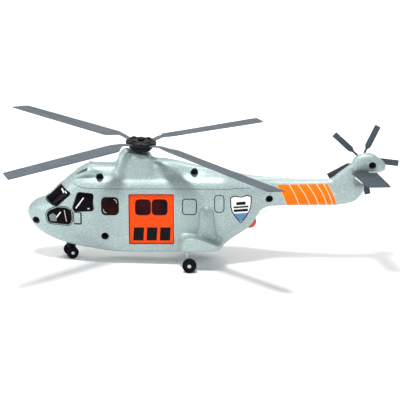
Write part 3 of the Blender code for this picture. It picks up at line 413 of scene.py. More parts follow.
def glassFinish(name, colour, inner):
    # dark tinted moulding, thicker looking in places, with faint haze
    made, shader = newFinish(name, colour, 0.07, specular=0.04)
    link = made.node_tree.links.new
    cloud = noiseOf(made, 38, 3)
    tone = rampOf(made, cloud.outputs["Fac"], [(0.35, colour), (0.72, inner)])
    link(tone.outputs["Color"], shader.inputs["Base Color"])
    haze = noiseOf(made, 300, 3)
    gloss = rangeOf(made, haze.outputs["Fac"], 0.05, 0.13)
    link(gloss.outputs["Result"], shader.inputs["Roughness"])
    bumpOf(made, shader, cloud.outputs["Fac"], 0.1, 0.0004)
    return made


def metalFinish(name, colour, roughness, stretch=(1, 30, 1)):
    made, shader = newFinish(name, colour, roughness, 1.0)
    link = made.node_tree.links.new
    lines = noiseOf(made, 700, 2, stretch)
    tone = rampOf(made, lines.outputs["Fac"], [(0.3, shadeOf(colour, 0.78)), (0.7, shadeOf(colour, 1.1))])
    link(tone.outputs["Color"], shader.inputs["Base Color"])
    gloss = rangeOf(made, lines.outputs["Fac"], roughness * 0.8, roughness * 1.3)
    link(gloss.outputs["Result"], shader.inputs["Roughness"])
    bumpOf(made, shader, lines.outputs["Fac"], 0.12, 0.00005)
    return made


def inkFinish(name, colour, thin, roughness=0.35):
    # pad printing: thinner in tiny spots, so that the paint below greys it
    made, shader = newFinish(name, colour, roughness, specular=0.08)
    link = made.node_tree.links.new
    spots = noiseOf(made, 2600, 2)
    cover = rangeOf(made, spots.outputs["Fac"], 0.0, 0.55, 0.6, 0.78)
    link(mixOf(made, cover.outputs["Result"], colour, thin), shader.inputs["Base Color"])
    bumpOf(made, shader, spots.outputs["Fac"], 0.1, 0.00004)
    return made


silverValues = dict(colour=(0.35, 0.445, 0.44), bright=(0.60, 0.70, 0.70), roughness=0.45, metal=0.42,
                    coat=0.1, flakeScale=1300)
silver = silverFinish(silverValues)
orangeGloss = plasticFinish("orangeGloss", (0.86, 0.062, 0.002), 0.3, 700, 0.08, 0.08, 0.05, specular=0.1)
orangeInk = inkFinish("orangeInk", (0.82, 0.175, 0.003), (0.72, 0.30, 0.12))
blackInk = inkFinish("blackInk", (0.004, 0.004, 0.005), (0.02, 0.021, 0.023))
# pale ink for printed fields, also used for the painted highlights (glints) on the panes
palePrintAndHighlight = inkFinish("palePrintAndHighlight", (0.80, 0.82, 0.82), (0.6, 0.64, 0.64))
grooveShade = plasticFinish("grooveShade", (0.09, 0.105, 0.11), 0.6, specular=0.1)
tintedGlass = glassFinish("tintedGlass", (0.001, 0.001, 0.0015), (0.006, 0.003, 0.004))
maroonGlass = glassFinish("maroonGlass", (0.003, 0.001, 0.0015), (0.045, 0.005, 0.007))
bladeGrey = plasticFinish("bladeGrey", (0.105, 0.122, 0.138), 0.7, 1300, 0.25, 0.1,
                          worn=(0.19, 0.21, 0.22), specular=0.02)
tailGrey = plasticFinish("tailGrey", (0.062, 0.078, 0.092), 0.65, 1300, 0.25, 0.1,
                         worn=(0.13, 0.15, 0.16), specular=0.04)
satinBlack = plasticFinish("satinBlack", (0.008, 0.009, 0.011), 0.45, 1100, 0.25, 0.2,
                           worn=(0.03, 0.03, 0.034), specular=0.1)
rubber = plasticFinish("rubber", (0.006, 0.006, 0.007), 0.68, 1500, 0.4, 0.25, specular=0.06)
paleGrey = plasticFinish("paleGrey", (0.50, 0.53, 0.55), 0.4, 1000, 0.15, 0.06)
redGloss = plasticFinish("redGloss", (0.72, 0.075, 0.045), 0.3, 800, 0.1, 0.1, 0.3)
cabinPlastic = plasticFinish("cabinPlastic", (0.30, 0.062, 0.020), 0.5, 900, 0.2)
steel = metalFinish("turnedSteel", (0.58, 0.58, 0.57), 0.28)
# brass darkened almost to black: painted shade for the bush in the dark gap under the swash ring
darkBrass = metalFinish("brassInPaintedShade", (0.055, 0.042, 0.026), 0.5)
print("finishes ready")

plainFinish = {"silver_paint": silver, "orange_plastic": orangeGloss, "dark_glazing": tintedGlass,
               "grey_plastic": tailGrey, "rotor_plastic": bladeGrey, "black_plastic": satinBlack,
               "tyre": rubber, "pale_plastic": paleGrey, "steel": steel, "brass": darkBrass,
               "interior_plastic": cabinPlastic, "red_plastic": redGloss}
for row in frame["record"]["subparts"]:
    mesh = frame["nodes"][row["node"]].data
    mesh.materials.clear()
    mesh.materials.append(plainFinish[row["material_slot"]])
    mesh.shade_smooth()
    mesh.set_sharp_from_angle(angle=math.radians(32))


# fuselage lines, the same as the castings follow
lines = dict(
    roof=smoothCurve([(-103, 47), (-100.4, 52.6), (-93.7, 58.2), (-86.4, 60.4), (-71.4, 73.4),
                      (-59.4, 82.6), (-50, 84.6), (-40, 84.4), (74, 84.4), (98.4, 79.4),
                      (119.5, 78.1), (148.8, 76.6), (182, 76.6)]),
    cowl=smoothCurve([(-103, 30), (-68, 70), (-59.4, 81.6), (-48.5, 90.4), (-44, 91.4), (-23, 91.4),
                      (-20.5, 94), (-18.4, 99.8), (-12.5, 105.2), (-4, 103.8), (9.6, 100.8),
                      (10.8, 98.4), (13.5, 95.8), (23, 95.2), (55, 88.6), (98.4, 79.4), (119, 76),
                      (182, 74)]),
    cowlWidth=smoothCurve([(-103, 6), (-68, 8), (-48, 12), (-24, 12), (-18, 12.6), (10, 13.2),
                           (23, 12.5), (55, 9.5), (98, 7), (182, 4)]),
    belly=smoothCurve([(-103, 45.2), (-101.8, 41), (-97.7, 33.6), (-89.4, 26.4), (-81, 22),
                       (-69, 17.8), (-55.5, 15), (-40, 12.9), (-22.5, 11), (-5, 10.2), (24, 10.2),
                       (70.5, 11), (76, 15.8), (83, 21.4), (92, 27), (99, 31.2), (104, 36.4),
                       (107.5, 42.6), (110.5, 47), (115, 50), (124, 51.4), (182, 51.6)]),
    beam=smoothCurve([(-103, 0.04), (-100.4, 0.27), (-95, 0.46), (-89, 0.6), (-81, 0.72),
                      (-70, 0.82), (-58, 0.89), (-45, 0.95), (-30, 0.985), (-14, 1), (74, 1),
                      (86, 0.93), (98, 0.81), (108, 0.65), (114, 0.55), (122, 0.47), (137, 0.4),
                      (150, 0.36), (165, 0.33), (182, 0.3)]),
    waist=smoothCurve([(-103, 46.3), (-80, 46.5), (-40, 50), (74, 50), (98, 57), (113, 63.5),
                       (182, 64.5)]),
    upperFullness=smoothCurve([(-103, 2), (-86, 2.3), (-60, 2.7), (-30, 2.9), (74, 2.9), (110, 2.3),
                               (182, 2.1)]),
    lowerFullness=smoothCurve([(-103, 2), (-86, 2.5), (-50, 3.8), (-20, 5.5), (72, 5.5), (83, 4),
                               (100, 3), (118, 2.3), (182, 2.1)]),
)
hull = dict(noseX=-102.9, boomEndX=182.0, stationStep=3.0, sideSteps=40, innerStep=6.0, innerSides=48,
            kinks=[-101.8, -100.4, -86.4, -20.5, -19.4, -18.4, -17.2, -15.4, 9.6, 10.2, 10.8, 12, 13.5,
                   112.6],
            flatZ=10.9, flatX=(-29.5, 82.0), centrePost=1.3)


def hullPoint(x, angle):
    # angle 0 is up and pi down, on the port side
    waist, roof, belly = lines["waist"](x), lines["roof"](x), lines["belly"](x)
    width = datum["halfWidth"] * lines["beam"](x)
    side, rise = abs(math.sin(angle)), math.cos(angle)
    height = roof - waist if rise >= 0 else waist - belly
    full = lines["upperFullness" if rise >= 0 else "lowerFullness"](x)
    radius = ((side / width) ** full + (abs(rise) / height) ** full) ** (-1 / full)
    cowlHeight = lines["cowl"](x) - waist
    if rise >= 0 and cowlHeight > 1:
        cowl = ((side / lines["cowlWidth"](x)) ** 5 + (rise / cowlHeight) ** 5) ** (-1 / 5)
        if cowl > 0.5 * radius:
            radius = (radius**26 + cowl**26) ** (1 / 26)
    return Vector((x, -radius * math.sin(angle), waist + radius * rise))


def hullSkin(x, angle, depth=0.0):
    point = hullPoint(x, angle)
    if not depth:
        return point
    low, high = max(hull["noseX"], x - 0.25), min(hull["boomEndX"], x + 0.25)
    along = hullPoint(high, angle) - hullPoint(low, angle)
    around = hullPoint(x, angle + 0.02) - hullPoint(x, angle - 0.02)
    normal = along.cross(around).normalized()
    if normal.dot(point - Vector((x, 0, lines["waist"](x)))) < 0:
        normal = -normal
    return point - depth * normal


def angleAt(x, z, depth=0.0):
    low, high = 0.0, math.pi
    for _ in range(28):
        middle = (low + high) / 2
        if hullSkin(x, middle, depth).z > z:
            low = middle
        else:
            high = middle
    return low


def halfRings(stations, sides, depth, seam):
    rings = []
    for x in stations:
        ring = []
        for k in range(sides + 1):
            point = hullSkin(x, math.pi * k / sides, depth)
            point.y = seam if k in (0, sides) else min(point.y, -datum["seam"] - 0.01)
            ring.append(tuple(point))
        rings.append(ring)
    return rings


def stationsOf(start, end, step, kinks):
    count = round((end - start) / step)
    plain = [start + (end - start) * k / count for k in range(count + 1)]
    extra = [x for x in kinks if start < x < end]
    return sorted([x for x in plain if all(abs(x - k) > step * 0.3 for k in extra)] + extra)


# cast shells
windowShapes = {
    "windscreen": roundOutline([(-62.4, 67.8), (-74.3, 56.7), (-77.8, 56.3), (-86.2, 60.7), (-89, 62.5),
                                (-74, 77.5), (-71.6, 73.4)], 1.6),
    "chin": roundOutline([(-84, 47.4), (-82.2, 50.4), (-74.4, 54.2), (-66.6, 54.1), (-62.4, 52),
                          (-62, 43.5), (-63.8, 39.4), (-82.4, 40.4)], 1.8),
    "side": roundOutline([(-55.2, 68.9), (-41.6, 67.8), (-42.6, 61.2), (-41.6, 53.2), (-58.6, 51.9),
                          (-60, 54.6)], 2.0),
    "cabin": roundRect(-33.3, -19.2, 49.6, 64.6, 3.6),
}
doorway = dict(x0=-9.5, x1=31.8, z0=20.3, z1=68.3, corner=1.4)
screwWells = [(-95, 40.1, 4.5), (-35.5, 82.2, 8), (-31.3, 28.3, 8), (50.4, 85.6, 5), (118.8, 60.4, 5),
              (212.4, 90.6, 2.2)]
wellShape = dict(radius=3.2, lip=0.5, bossRadius=4.4)
farPort = -70.0
winch = dict(x=101.0, z=36.0, radius=6.0, width=5.0, hub=2.0, hubReach=1.0, axle=1.1, bossRadius=3.0,
             slotHalf=3.8, reach=6.8)


def finRings(sides=14):
    sections = [(53, 168, 189, 2.2), (55.5, 165, 196.5, 4.4), (60, 163, 201.6, 5.6), (66, 163, 205.4, 5.8),
                (70, 166, 205.4, 5.4), (74, 171, 201, 4.8), (78, 176.5, 197, 4.4), (83, 182.6, 197.4, 4),
                (88, 189, 201, 3.6), (94, 197, 206, 3)]
    columns = [smoothCurve([(row[0], row[n]) for row in sections]) for n in (1, 2, 3)]
    rings = []
    for z in stationsOf(53, 94, 1.6, []):
        lead, trail, thick = (column(z) for column in columns)
        middle, chord = (lead + trail) / 2, (trail - lead) / 2
        rings.append([(middle - chord * math.cos(math.pi * k / sides),
                       -datum["seam"] - thick * math.sin(math.pi * k / sides) ** 0.8, z)
                      if 0 < k < sides else (middle - chord * math.cos(math.pi * k / sides), -datum["seam"],
                                             z)
                      for k in range(sides + 1)])
    return rings


def podRings(sides=18):
    # rounded pod at the top of the fin
    sections = [(193.6, 84.6, 92, 2), (196, 82.9, 96.6, 4), (200, 82.2, 99.4, 5.2), (205, 82, 101, 5.6),
                (211, 82.1, 100.9, 5.6), (217, 82.6, 97.6, 5.2), (221.6, 83.8, 94, 4.2),
                (224.4, 85.6, 91, 2.4)]
    columns = [smoothCurve([(row[0], row[n]) for row in sections]) for n in (1, 2, 3)]
    rings = []
    for x in stationsOf(193.6, 224.4, 1.4, []):
        low, high, thick = (column(x) for column in columns)
        middle, height = (low + high) / 2, (high - low) / 2
        rings.append([(x, -datum["seam"] - thick * math.sin(math.pi * k / sides) ** 0.75 if 0 < k < sides
                       else -datum["seam"], middle + height * math.cos(math.pi * k / sides))
                      for k in range(sides + 1)])
    return rings


def sponsonRings(reachOut=14.0):
    # undercarriage sponson, as ribs from inside the cabin side outwards, its outer end rounded
    rings = []
    reaches = [-4.0, 0.0, 2, 4, 6, 8, 10, 11.5, 12.6, 13.3, 13.8, reachOut]
    for reach in reaches:
        t = max(0.0, reach) / reachOut
        front, rear = 34 + 7 * t**2, 77 - 4.5 * t
        lowFront, lowRear = 15.6 + 1.4 * t**3, 17.6 + 1.6 * t**3
        highFront, highRear = 32 - 0.6 * t, 26.8 - 3 * t
        shy = 0.9 * max(0.0, (reach - 11.5) / 2.5) ** 2
        dip = 2.6 * math.sin(math.pi * min(1.0, max(0.0, reach) / 12.8)) ** 0.7
        outline = [(front + shy, lowFront + shy), (rear - shy, lowRear + shy),
                   (rear - shy, highRear - shy - dip * 0.5), (front + 10, highFront - shy - dip),
                   (front + 2.4 + shy, highFront - 0.6 - shy - dip * 0.7)]
        rings.append([(x, -(datum["halfWidth"] + reach), z) for x, z in roundOutline(outline, 5.4, 7)])
    return rings


def bulgeRings(sides=14):
    # bell-shaped housing over the sponson's rear
    sections = [(24, 10.6, 5), (29, 9.6, 5), (34, 8.4, 4.9), (40, 7.6, 4.8), (46, 7.3, 4.6), (51, 6.8, 3.9),
                (54.6, 5.4, 2.4), (56.6, 3, 0.6)]
    middle = 61.3
    half, out = (smoothCurve([(row[0], row[n]) for row in sections]) for n in (1, 2))
    rings = []
    for z in stationsOf(24.3, 56.6, 1.4, [55.6]):
        side = -hullSkin(middle, angleAt(middle, z)).y - 0.4
        rings.append([(middle + half(z) * math.cos(math.pi * k / sides),
                       -(side - 1) - ((out(z) + 1) * math.sin(math.pi * k / sides) ** 0.8 if 0 < k < sides
                                      else 0),
                       z) for k in range(sides + 1)])
    return rings


def rodY(x, z, radius, y0, y1, finish=None, steps=28):
    return moveTo(lathe("rod", [(radius, y0), (radius, y1)], finish, steps, "Y"), x, 0, z)


def skinRibbon(name, path, width, out, deep, finish, closed=True):
    # a narrow strip that follows the skin: path is (x, z) in side view, cast onto the hull
    points = []
    for x, z in path:
        hit, normal, _, _ = hullTree.ray_cast(Vector((x, farPort, z)), Vector((0, 1, 0)))
        if hit is not None:
            points.append((hit, normal if normal.y < 0 else -normal))
    count = len(points)
    rings = []
    for i, (hit, normal) in enumerate(points):
        before = points[i - 1][0] if closed or i else hit
        after = points[(i + 1) % count][0] if closed or i < count - 1 else hit
        side = (after - before).cross(normal).normalized() * width / 2
        rings.append([tuple(hit + side + normal * out), tuple(hit - side + normal * out),
                      tuple(hit - side - normal * deep), tuple(hit + side - normal * deep)])
    if closed:
        rings.append(rings[0])
    return loft(name, rings, finish, not closed)


def skinPatch(name, rows, out, deep, finish):
    # a thin printed field: rows of (x, z) points, cast onto the hull
    tops, unders = [], []
    for row in rows:
        top, under = [], []
        for x, z in row:
            hit, normal, _, _ = hullTree.ray_cast(Vector((x, farPort, z)), Vector((0, 1, 0)))
            normal = normal if normal.y < 0 else -normal
            top.append(tuple(hit + normal * out))
            under.append(tuple(hit - normal * deep))
        tops.append(top)
        unders.append(under)
    return sheet(name, tops, unders, finish)


def skinField(name, outline, out, deep, finish, step=1.5):
    # a printed field of any outline: a fan of rows from its lowest to its highest edge
    zs = [z for _, z in outline]
    low, high = min(zs) + 0.01, max(zs) - 0.01
    count = max(2, math.ceil((high - low) / step))
    rows = []
    for k in range(count + 1):
        z = low + (high - low) * k / count
        xs = []
        for (x0, z0), (x1, z1) in zip(outline, outline[1:] + outline[:1]):
            if (z0 - z) * (z1 - z) < 0:
                xs.append(x0 + (x1 - x0) * (z - z0) / (z1 - z0))
        a, b = min(xs), max(xs)
        rows.append([(a + (b - a) * n / 6, z) for n in range(7)])
    return skinPatch(name, rows, out, deep, finish)


def hoodRings(sides=12):
    # small intake fairing where the cockpit roof meets the cowling
    spine = [(-60, 80.2, 0.6, 0.4), (-58.4, 81.4, 2, 1.6), (-54, 83.6, 3, 3), (-50, 85.6, 3.6, 3.9),
             (-46, 86.8, 3.9, 4.2), (-42, 86.4, 3.6, 3.4), (-38, 85, 2.6, 1.9), (-34, 83.6, 1.2, 0.5)]
    height, along, proud = (smoothCurve([(row[0], row[n]) for row in spine]) for n in (1, 2, 3))
    rings = []
    for x in stationsOf(-60, -34, 1.3, []):
        a = angleAt(x, height(x))
        middle, nearby = hullSkin(x, a), hullSkin(x, a + 0.03)
        slope = (nearby - middle).normalized()
        out = Vector((0, -abs(slope.z), abs(slope.y))).normalized()
        rings.append([tuple(middle + slope * along(x) * math.cos(2 * math.pi * k / sides)
                            + out * proud(x) * math.sin(2 * math.pi * k / sides)) for k in range(sides)])
    return rings


def castHalf():
    stations = stationsOf(hull["noseX"], hull["boomEndX"], hull["stationStep"], hull["kinks"])
    shell = loft("castHalf", halfRings(stations, hull["sideSteps"], 0.0, -datum["seam"]), silver)
    for name, rings in (("bulge", bulgeRings()), ("fin", finRings()), ("pod", podRings()),
                        ("hood", hoodRings()), ("sponson", sponsonRings())):
        combine(shell, loft(name, rings, silver), "UNION")
    return shell


shellBlank = castHalf()
hullTree = BVHTree.FromObject(shellBlank, bpy.context.evaluated_depsgraph_get())
print("outer form of the casting", len(shellBlank.data.polygons), "faces")


def hollowOut(shell):
    stations = stationsOf(-97.5, 150.5, hull["innerStep"],
                          [-86.4, -20.5, -18.4, -12.5, 10.2, 13.5, 70.2, 71.4, 76])
    cavity = loft("cavity", halfRings(stations, hull["innerSides"], datum["wall"], 1.0), silver)
    for x, z, _ in screwWells[:5]:
        combine(cavity, rodY(x, z, wellShape["bossRadius"], -datum["halfWidth"] - 6, 6, silver, 20))
    combine(cavity, rodY(winch["x"], winch["z"], winch["bossRadius"], -winch["reach"] - 1.2,
                         -winch["slotHalf"] / 2, silver, 28))
    combine(shell, cavity)
    return shell


grooves = [
    ("deckEdge", [(-37, 72.9), (10, 72.9), (60, 72.7), (101, 72.2)], False),
    ("noseSeam", [(-59.4, 76.5), (-52, 73.6), (-44, 72.9), (-37, 72.9)], False),
]


def cutOpenings(shell):
    for outline in windowShapes.values():
        combine(shell, prism("window", outline, farPort, -hull["centrePost"], silver))
    opening = roundRect(doorway["x0"], doorway["x1"], doorway["z0"], doorway["z1"], doorway["corner"])
    combine(shell, prism("doorway", opening, farPort, -datum["halfWidth"] + 8, silver))
    for name, path, closed in grooves:
        combine(shell, skinRibbon(name, densify(path, 1.5, closed), 0.42, 1.0, 0.32, grooveShade, closed))
    low, high = hull["flatX"]
    combine(shell,
            block("bellyFlat", (low, -datum["halfWidth"] - 3, hull["flatZ"] - 9), (high, 9, hull["flatZ"]),
                         silver))
    return shell


def cutGear(shell):
    leg = dict(x=44.1, y=32.3 - 0.5, half=1.4, top=27.3)
    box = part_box("left_main_leg")
    centre = airframeMatrix.inverted() @ ((box[0] + box[1]) / 2)
    leg["y"] = centre.y
    combine(shell, block("legSocket", (leg["x"] - leg["half"], leg["y"] - leg["half"], 8),
                         (leg["x"] + leg["half"], leg["y"] + leg["half"], leg["top"]), grooveShade))
    combine(shell, moveTo(lathe("noseSocket", [(2.3, -9), (2.3, 40)], grooveShade, 28), -64, 0, 0))
    mast = moveTo(lathe("mastHole", [(3.3, -16), (3.3, 12)], grooveShade, 32), 0.9, 0, 98,
                  Matrix.Rotation(math.radians(4), 3, "Y"))
    combine(shell, mast)
    front, rear, height = (-60.5, 82.8), (-46.5, 89.4), 1.7
    outer, inner, tilt = -30, -8, 1.5
    mouth = loft("mouth", [[(front[0], outer, front[1] - s), (rear[0], outer, rear[1] - s),
                            (rear[0], inner, rear[1] + tilt - s), (front[0], inner, front[1] + tilt - s)]
                           for s in (0.0, height)], grooveShade)
    combine(shell, mouth)
    combine(shell,
            rodY(winch["x"], winch["z"], winch["radius"] + 0.8, -winch["slotHalf"], winch["slotHalf"],
                        grooveShade, 48))
    combine(shell, rodY(winch["x"], winch["z"], winch["axle"] + 0.08, -winch["reach"] - 0.3,
                        1 - winch["slotHalf"], grooveShade, 24))
    return shell


shellBlank = cutGear(cutOpenings(hollowOut(shellBlank)))
print("half casting cut", len(shellBlank.data.polygons), "faces")

rightCasting = mirrored(shellBlank, "rightCasting")
for x, z, floor in screwWells:
    hit = hullTree.ray_cast(Vector((x, farPort, z)), Vector((0, 1, 0)))[0]
    well = lathe("well", [(wellShape["radius"], -floor), (wellShape["radius"], hit.y + 0.4),
                          (wellShape["radius"] + wellShape["lip"], hit.y - 0.1),
                          (wellShape["radius"] + wellShape["lip"], hit.y - 8)],
                 grooveShade, 32, "Y")
    combine(shellBlank, moveTo(well, x, 0, z))
    combine(shellBlank, rodY(x, z, 1.5, -floor - 1, 2, grooveShade, 20))
tailSlot = dict(x0=196.2, x1=209.3, z0=82.6, z1=84.6, corner=0.4, start=-20, end=-1.2)
slotOutline = roundRect(tailSlot["x0"], tailSlot["x1"], tailSlot["z0"], tailSlot["z1"], tailSlot["corner"],
                        1)
slotPrism = prism("slot", slotOutline, tailSlot["start"], tailSlot["end"], grooveShade)
leftCasting = combine(shellBlank, slotPrism)
leftCasting.name = "leftCasting"
tailBore = dict(x=datum["tailRotorX"], z=datum["tailRotorZ"], radius=1.08)
bore = rodY(tailBore["x"], tailBore["z"], tailBore["radius"], -2, 20, grooveShade, 24)
combine(rightCasting, bore)
fitPiece(leftCasting, "airframe", ["left_shell"])
fitPiece(rightCasting, "airframe", ["right_shell"])
print("castings done")


# glazing
glassShape = dict(flush=0.3, thick=0.9, gap=0.25, frameOut=0.12, fine=2.2)


def paneOf(name, outline, finish, step):
    # a pane that follows the hull a little below its skin, cut to its opening
    grown = insetOutline(outline, -1.0)
    xs, zs = [x for x, _ in grown], [z for _, z in grown]
    columns = stationsOf(min(xs), max(xs), step, [])
    top, bottom = angleAt(min(xs), max(zs)) * 0.98, angleAt(max(xs), min(zs))
    rows = max(4, math.ceil((bottom - top) * datum["halfWidth"] / step))
    angles = [top + (bottom - top) * k / rows for k in range(rows + 1)]
    outer = [[tuple(hullSkin(x, a, glassShape["flush"])) for a in angles] for x in columns]
    inner = [[tuple(hullSkin(x, a,
                             glassShape["flush"] + glassShape["thick"])) for a in angles] for x in columns]
    pane = sheet(name, outer, inner, finish)
    return combine(pane, prism("cut", insetOutline(outline, glassShape["gap"]), farPort, -0.4, finish),
                   "INTERSECT")


def frameOf(name, outline, finish, width, grow=0.0, out=None):
    path = densify(insetOutline(outline, -grow), 1.2)
    return skinRibbon(name, path, width, glassShape["frameOut"] if out is None else out, 0.3, finish)


cockpitPanes = [paneOf("pane_" + word, windowShapes[word], tintedGlass, glassShape["fine"])
                for word in ("windscreen", "chin", "side")]
backSheet = sheet("backSheet", *[[[tuple(hullSkin(x, a, depth)) for a in
                                   [math.radians(8 + 6 * k) for k in range(19)]]
                                  for x in stationsOf(-88, -43.5, 4, [])] for depth in (1.5, 2.2)],
                                  tintedGlass)
deckAbove = block("deckAbove", (-66.4, -40, 73.2), (0, 9, 130))
combine(backSheet, deckAbove)
leftGlass = joinPieces("leftCockpitGlass", cockpitPanes + [backSheet])
rightGlass = mirrored(leftGlass, "rightCockpitGlass")
fitPiece(leftGlass, "airframe", ["left_cockpit_glazing"])
fitPiece(rightGlass, "airframe", ["right_cockpit_glazing"])

leftPane = paneOf("leftCabinPane", windowShapes["cabin"], maroonGlass, glassShape["fine"])
rightPane = mirrored(leftPane, "rightCabinPane")
fitPiece(leftPane, "airframe", ["left_cabin_window"])
fitPiece(rightPane, "airframe", ["right_cabin_window"])
print("glazing done")


# printed details on the castings, both sides alike
printed = dict(lift=0.05, deep=0.25)
printedOutlines = [
    ("squareWindow", roundRect(39.5, 52.2, 49.3, 63.8, 3.4), 0.85),
    ("slimWindow", roundRect(68.6, 77.2, 51.4, 67.2, 3.6), 0.8),
    ("stepPanel", roundRect(-59.5, -52.7, 39.5, 50.7, 0.5, 1), 0.7),
]
frames = [("windscreenFrame", windowShapes["windscreen"], 0.9), ("chinFrame", windowShapes["chin"], 0.9),
          ("sideFrame", windowShapes["side"], 1.0), ("cabinFrame", windowShapes["cabin"], 1.15)]


def bothSides(item, body, rightName):
    other = mirrored(item, rightName)
    fitPiece(item, body)
    fitPiece(other, body.replace("left", "right"))


printedStrokes = [
    ("panelShade", [(-52.9, 50.2), (-52.9, 39.8), (-58.8, 39.8)], 1.3),
    ("screenEdge", [(-74.2, 79.6), (-70.6, 72.6), (-62.4, 67.2)], 0.7),
]
lineWork = [skinRibbon(name, densify(path, 1.2), width, printed["lift"], printed["deep"], blackInk)
            for name, path, width in printedOutlines]
lineWork += [skinRibbon(name, densify(path, 1.2, False), width, printed["lift"], printed["deep"], blackInk,
                        False)
             for name, path, width in printedStrokes]
bothSides(joinPieces("leftPrintedLines", lineWork), "airframe", "rightPrintedLines")
frameWork = [frameOf(name, outline, blackInk, width, width / 2 - 0.1) for name, outline, width in frames]
frameWork.append(frameOf("chinOuterLine", windowShapes["chin"], blackInk, 0.7, 1.7, printed["lift"]))
bothSides(joinPieces("leftWindowFrames", frameWork), "airframe", "rightWindowFrames")


# pale marks on the panes: a printed grey panel, and white strokes that are partly printed marks and partly painted
# highlights (glints)
def paneMarks():
    grey = inkFinish("greyInk", (0.17, 0.19, 0.21), (0.34, 0.37, 0.39))
    panel = [(-82.6, 46.6), (-78.6, 48.9), (-75.6, 46.8), (-75.4, 41.2), (-81.2, 41.2)]
    work = [skinField("greyPanel", panel, -0.2, 0.1, grey, 1.0)]
    # white strokes: painted highlights on the panes, standing in for reflections
    strokes = [([(-71.6, 50.4), (-76.0, 44.4)], 1.0), ([(-68.2, 52.4), (-66.4, 41.6)], 0.4),
               ([(-50.2, 64.6), (-57.6, 54.4)], 1.0), ([(-46.8, 54.6), (-45.0, 54.6)], 0.9),
               ([(-70.6, 71.0), (-68.4, 68.0)], 1.3), ([(-67.6, 69.8), (-66.0, 67.6)], 0.8),
               ([(-32.2, 54.4), (-32.0, 51.8), (-29.8, 50.8)], 0.4),
               ([(-20.4, 60.0), (-20.6, 62.6), (-22.8, 63.5)], 0.4)]
    for path, width in strokes:
        work.append(skinRibbon("glint", densify(path, 1.0, False), width, -0.2, 0.45, palePrintAndHighlight, False))
    return joinPieces("leftPaneMarks", work)


bothSides(paneMarks(), "airframe", "rightPaneMarks")


# orange bands round the boom
bands = dict(tops=[125.0, 136.6, 144.6, 153.2, 161.8, 168.2, 172.2],
             bottoms=[134.6, 145.8, 155.6, 164.0, 171.4, 176.6, 180.6],
             gap=0.85, high=73.2, low=53.3)


def bandRows(left, right, steps=24):
    rows = []
    count = max(4, math.ceil((right[0] - left[0]) / 1.8))
    for k in range(steps + 1):
        t = k / steps
        z = bands["high"] + (bands["low"] - bands["high"]) * t
        lean = t + 0.12 * math.sin(math.pi * t)
        a = left[0] + (left[1] - left[0]) * lean
        b = right[0] + (right[1] - right[0]) * lean
        rows.append([(a + (b - a) * n / count, z) for n in range(count + 1)])
    return rows


creamInk = inkFinish("creamInk", (0.80, 0.72, 0.56), (0.62, 0.62, 0.56))
bandPieces = [skinPatch("bandGround", bandRows((bands["tops"][0], bands["bottoms"][0]),
                                               (bands["tops"][-1], bands["bottoms"][-1])),
                        printed["lift"] * 0.4, printed["deep"], creamInk)]
edges = list(zip(bands["tops"], bands["bottoms"]))
for left, right in zip(edges, edges[1:]):
    left = (left[0] + bands["gap"] / 2, left[1] + bands["gap"] / 2)
    right = (right[0] - bands["gap"] / 2, right[1] - bands["gap"] / 2)
    bandPieces.append(skinPatch("band", bandRows(left, right), printed["lift"] * 3, printed["deep"],
                                orangeInk))
bothSides(joinPieces("leftBoomBands", bandPieces), "airframe", "rightBoomBands")


# a plain shield: pale field with three dark bars and a blue foot
shield = dict(x=92.6, top=66.0, foot=40.3, half=9.4, line=0.9)


def shieldOutline(grow=0.0):
    x, half = shield["x"], shield["half"] + grow
    top, foot = shield["top"] + grow, shield["foot"] - grow * 1.3
    side = [(x - half, top - 1.5), (x - half * 0.62, top), (x, top - 1.2), (x + half * 0.62, top),
            (x + half, top - 1.5)]
    lower = [(x + half * 0.98, top - 9), (x + half * 0.84, top - 14.5), (x + half * 0.5, top - 20),
             (x, foot),
             (x - half * 0.5, top - 20), (x - half * 0.84, top - 14.5), (x - half * 0.98, top - 9)]
    return side + lower


blueInk = inkFinish("blueInk", (0.10, 0.24, 0.42), (0.35, 0.5, 0.6))
shieldWork = [
    skinField("field", shieldOutline(-0.3), 0.05, printed["deep"], palePrintAndHighlight, 1.0),
    skinRibbon("rim", densify(shieldOutline(), 1.2), shield["line"], 0.09, printed["deep"], blackInk),
]
footOutline = [(x, z) for x, z in shieldOutline(-1.1) if z < 50] 
footOutline = [(shield["x"] + 7.2, 49.6)] + footOutline + [(shield["x"] - 7.2, 49.6)]
shieldWork.append(skinField("foot", footOutline, 0.08, printed["deep"], blueInk))
for low, high, half in ((51.2, 53.6, 6.4), (54.8, 56.4, 6.8), (57.6, 60.4, 4.2)):
    shieldWork.append(skinField("bar", [(shield["x"] - half, low), (shield["x"] + half, low),
                                        (shield["x"] + half, high), (shield["x"] - half, high)],
                                0.08, printed["deep"], blackInk))
bothSides(joinPieces("leftShield", shieldWork), "airframe", "rightShield")
print("prints done")


# sliding doors
doorShape = dict(face=1.5, thick=1.3, lap=1.4)
doorWindows = [("Front", (-3.2, 10.4, 48.6, 62.8)), ("Rear", (12.0, 25.6, 48.6, 62.8))]


def sideRows(x0, x1, z0, z1, depth, columns, rows=26):
    first, last = angleAt(doorway["x0"], z1), angleAt(doorway["x0"], z0)
    angles = [first + (last - first) * k / rows for k in range(rows + 1)]
    section = [hullSkin(doorway["x0"], a, depth) for a in angles]
    return [[(x0 + (x1 - x0) * n / columns, p.y, p.z) for p in section] for n in range(columns + 1)]


def sideSheet(name, x0, x1, z0, z1, depth, thick, finish, columns=14):
    return sheet(name, sideRows(x0, x1, z0, z1, depth, columns),
                 sideRows(x0, x1, z0, z1, depth + thick, columns),
                 finish)


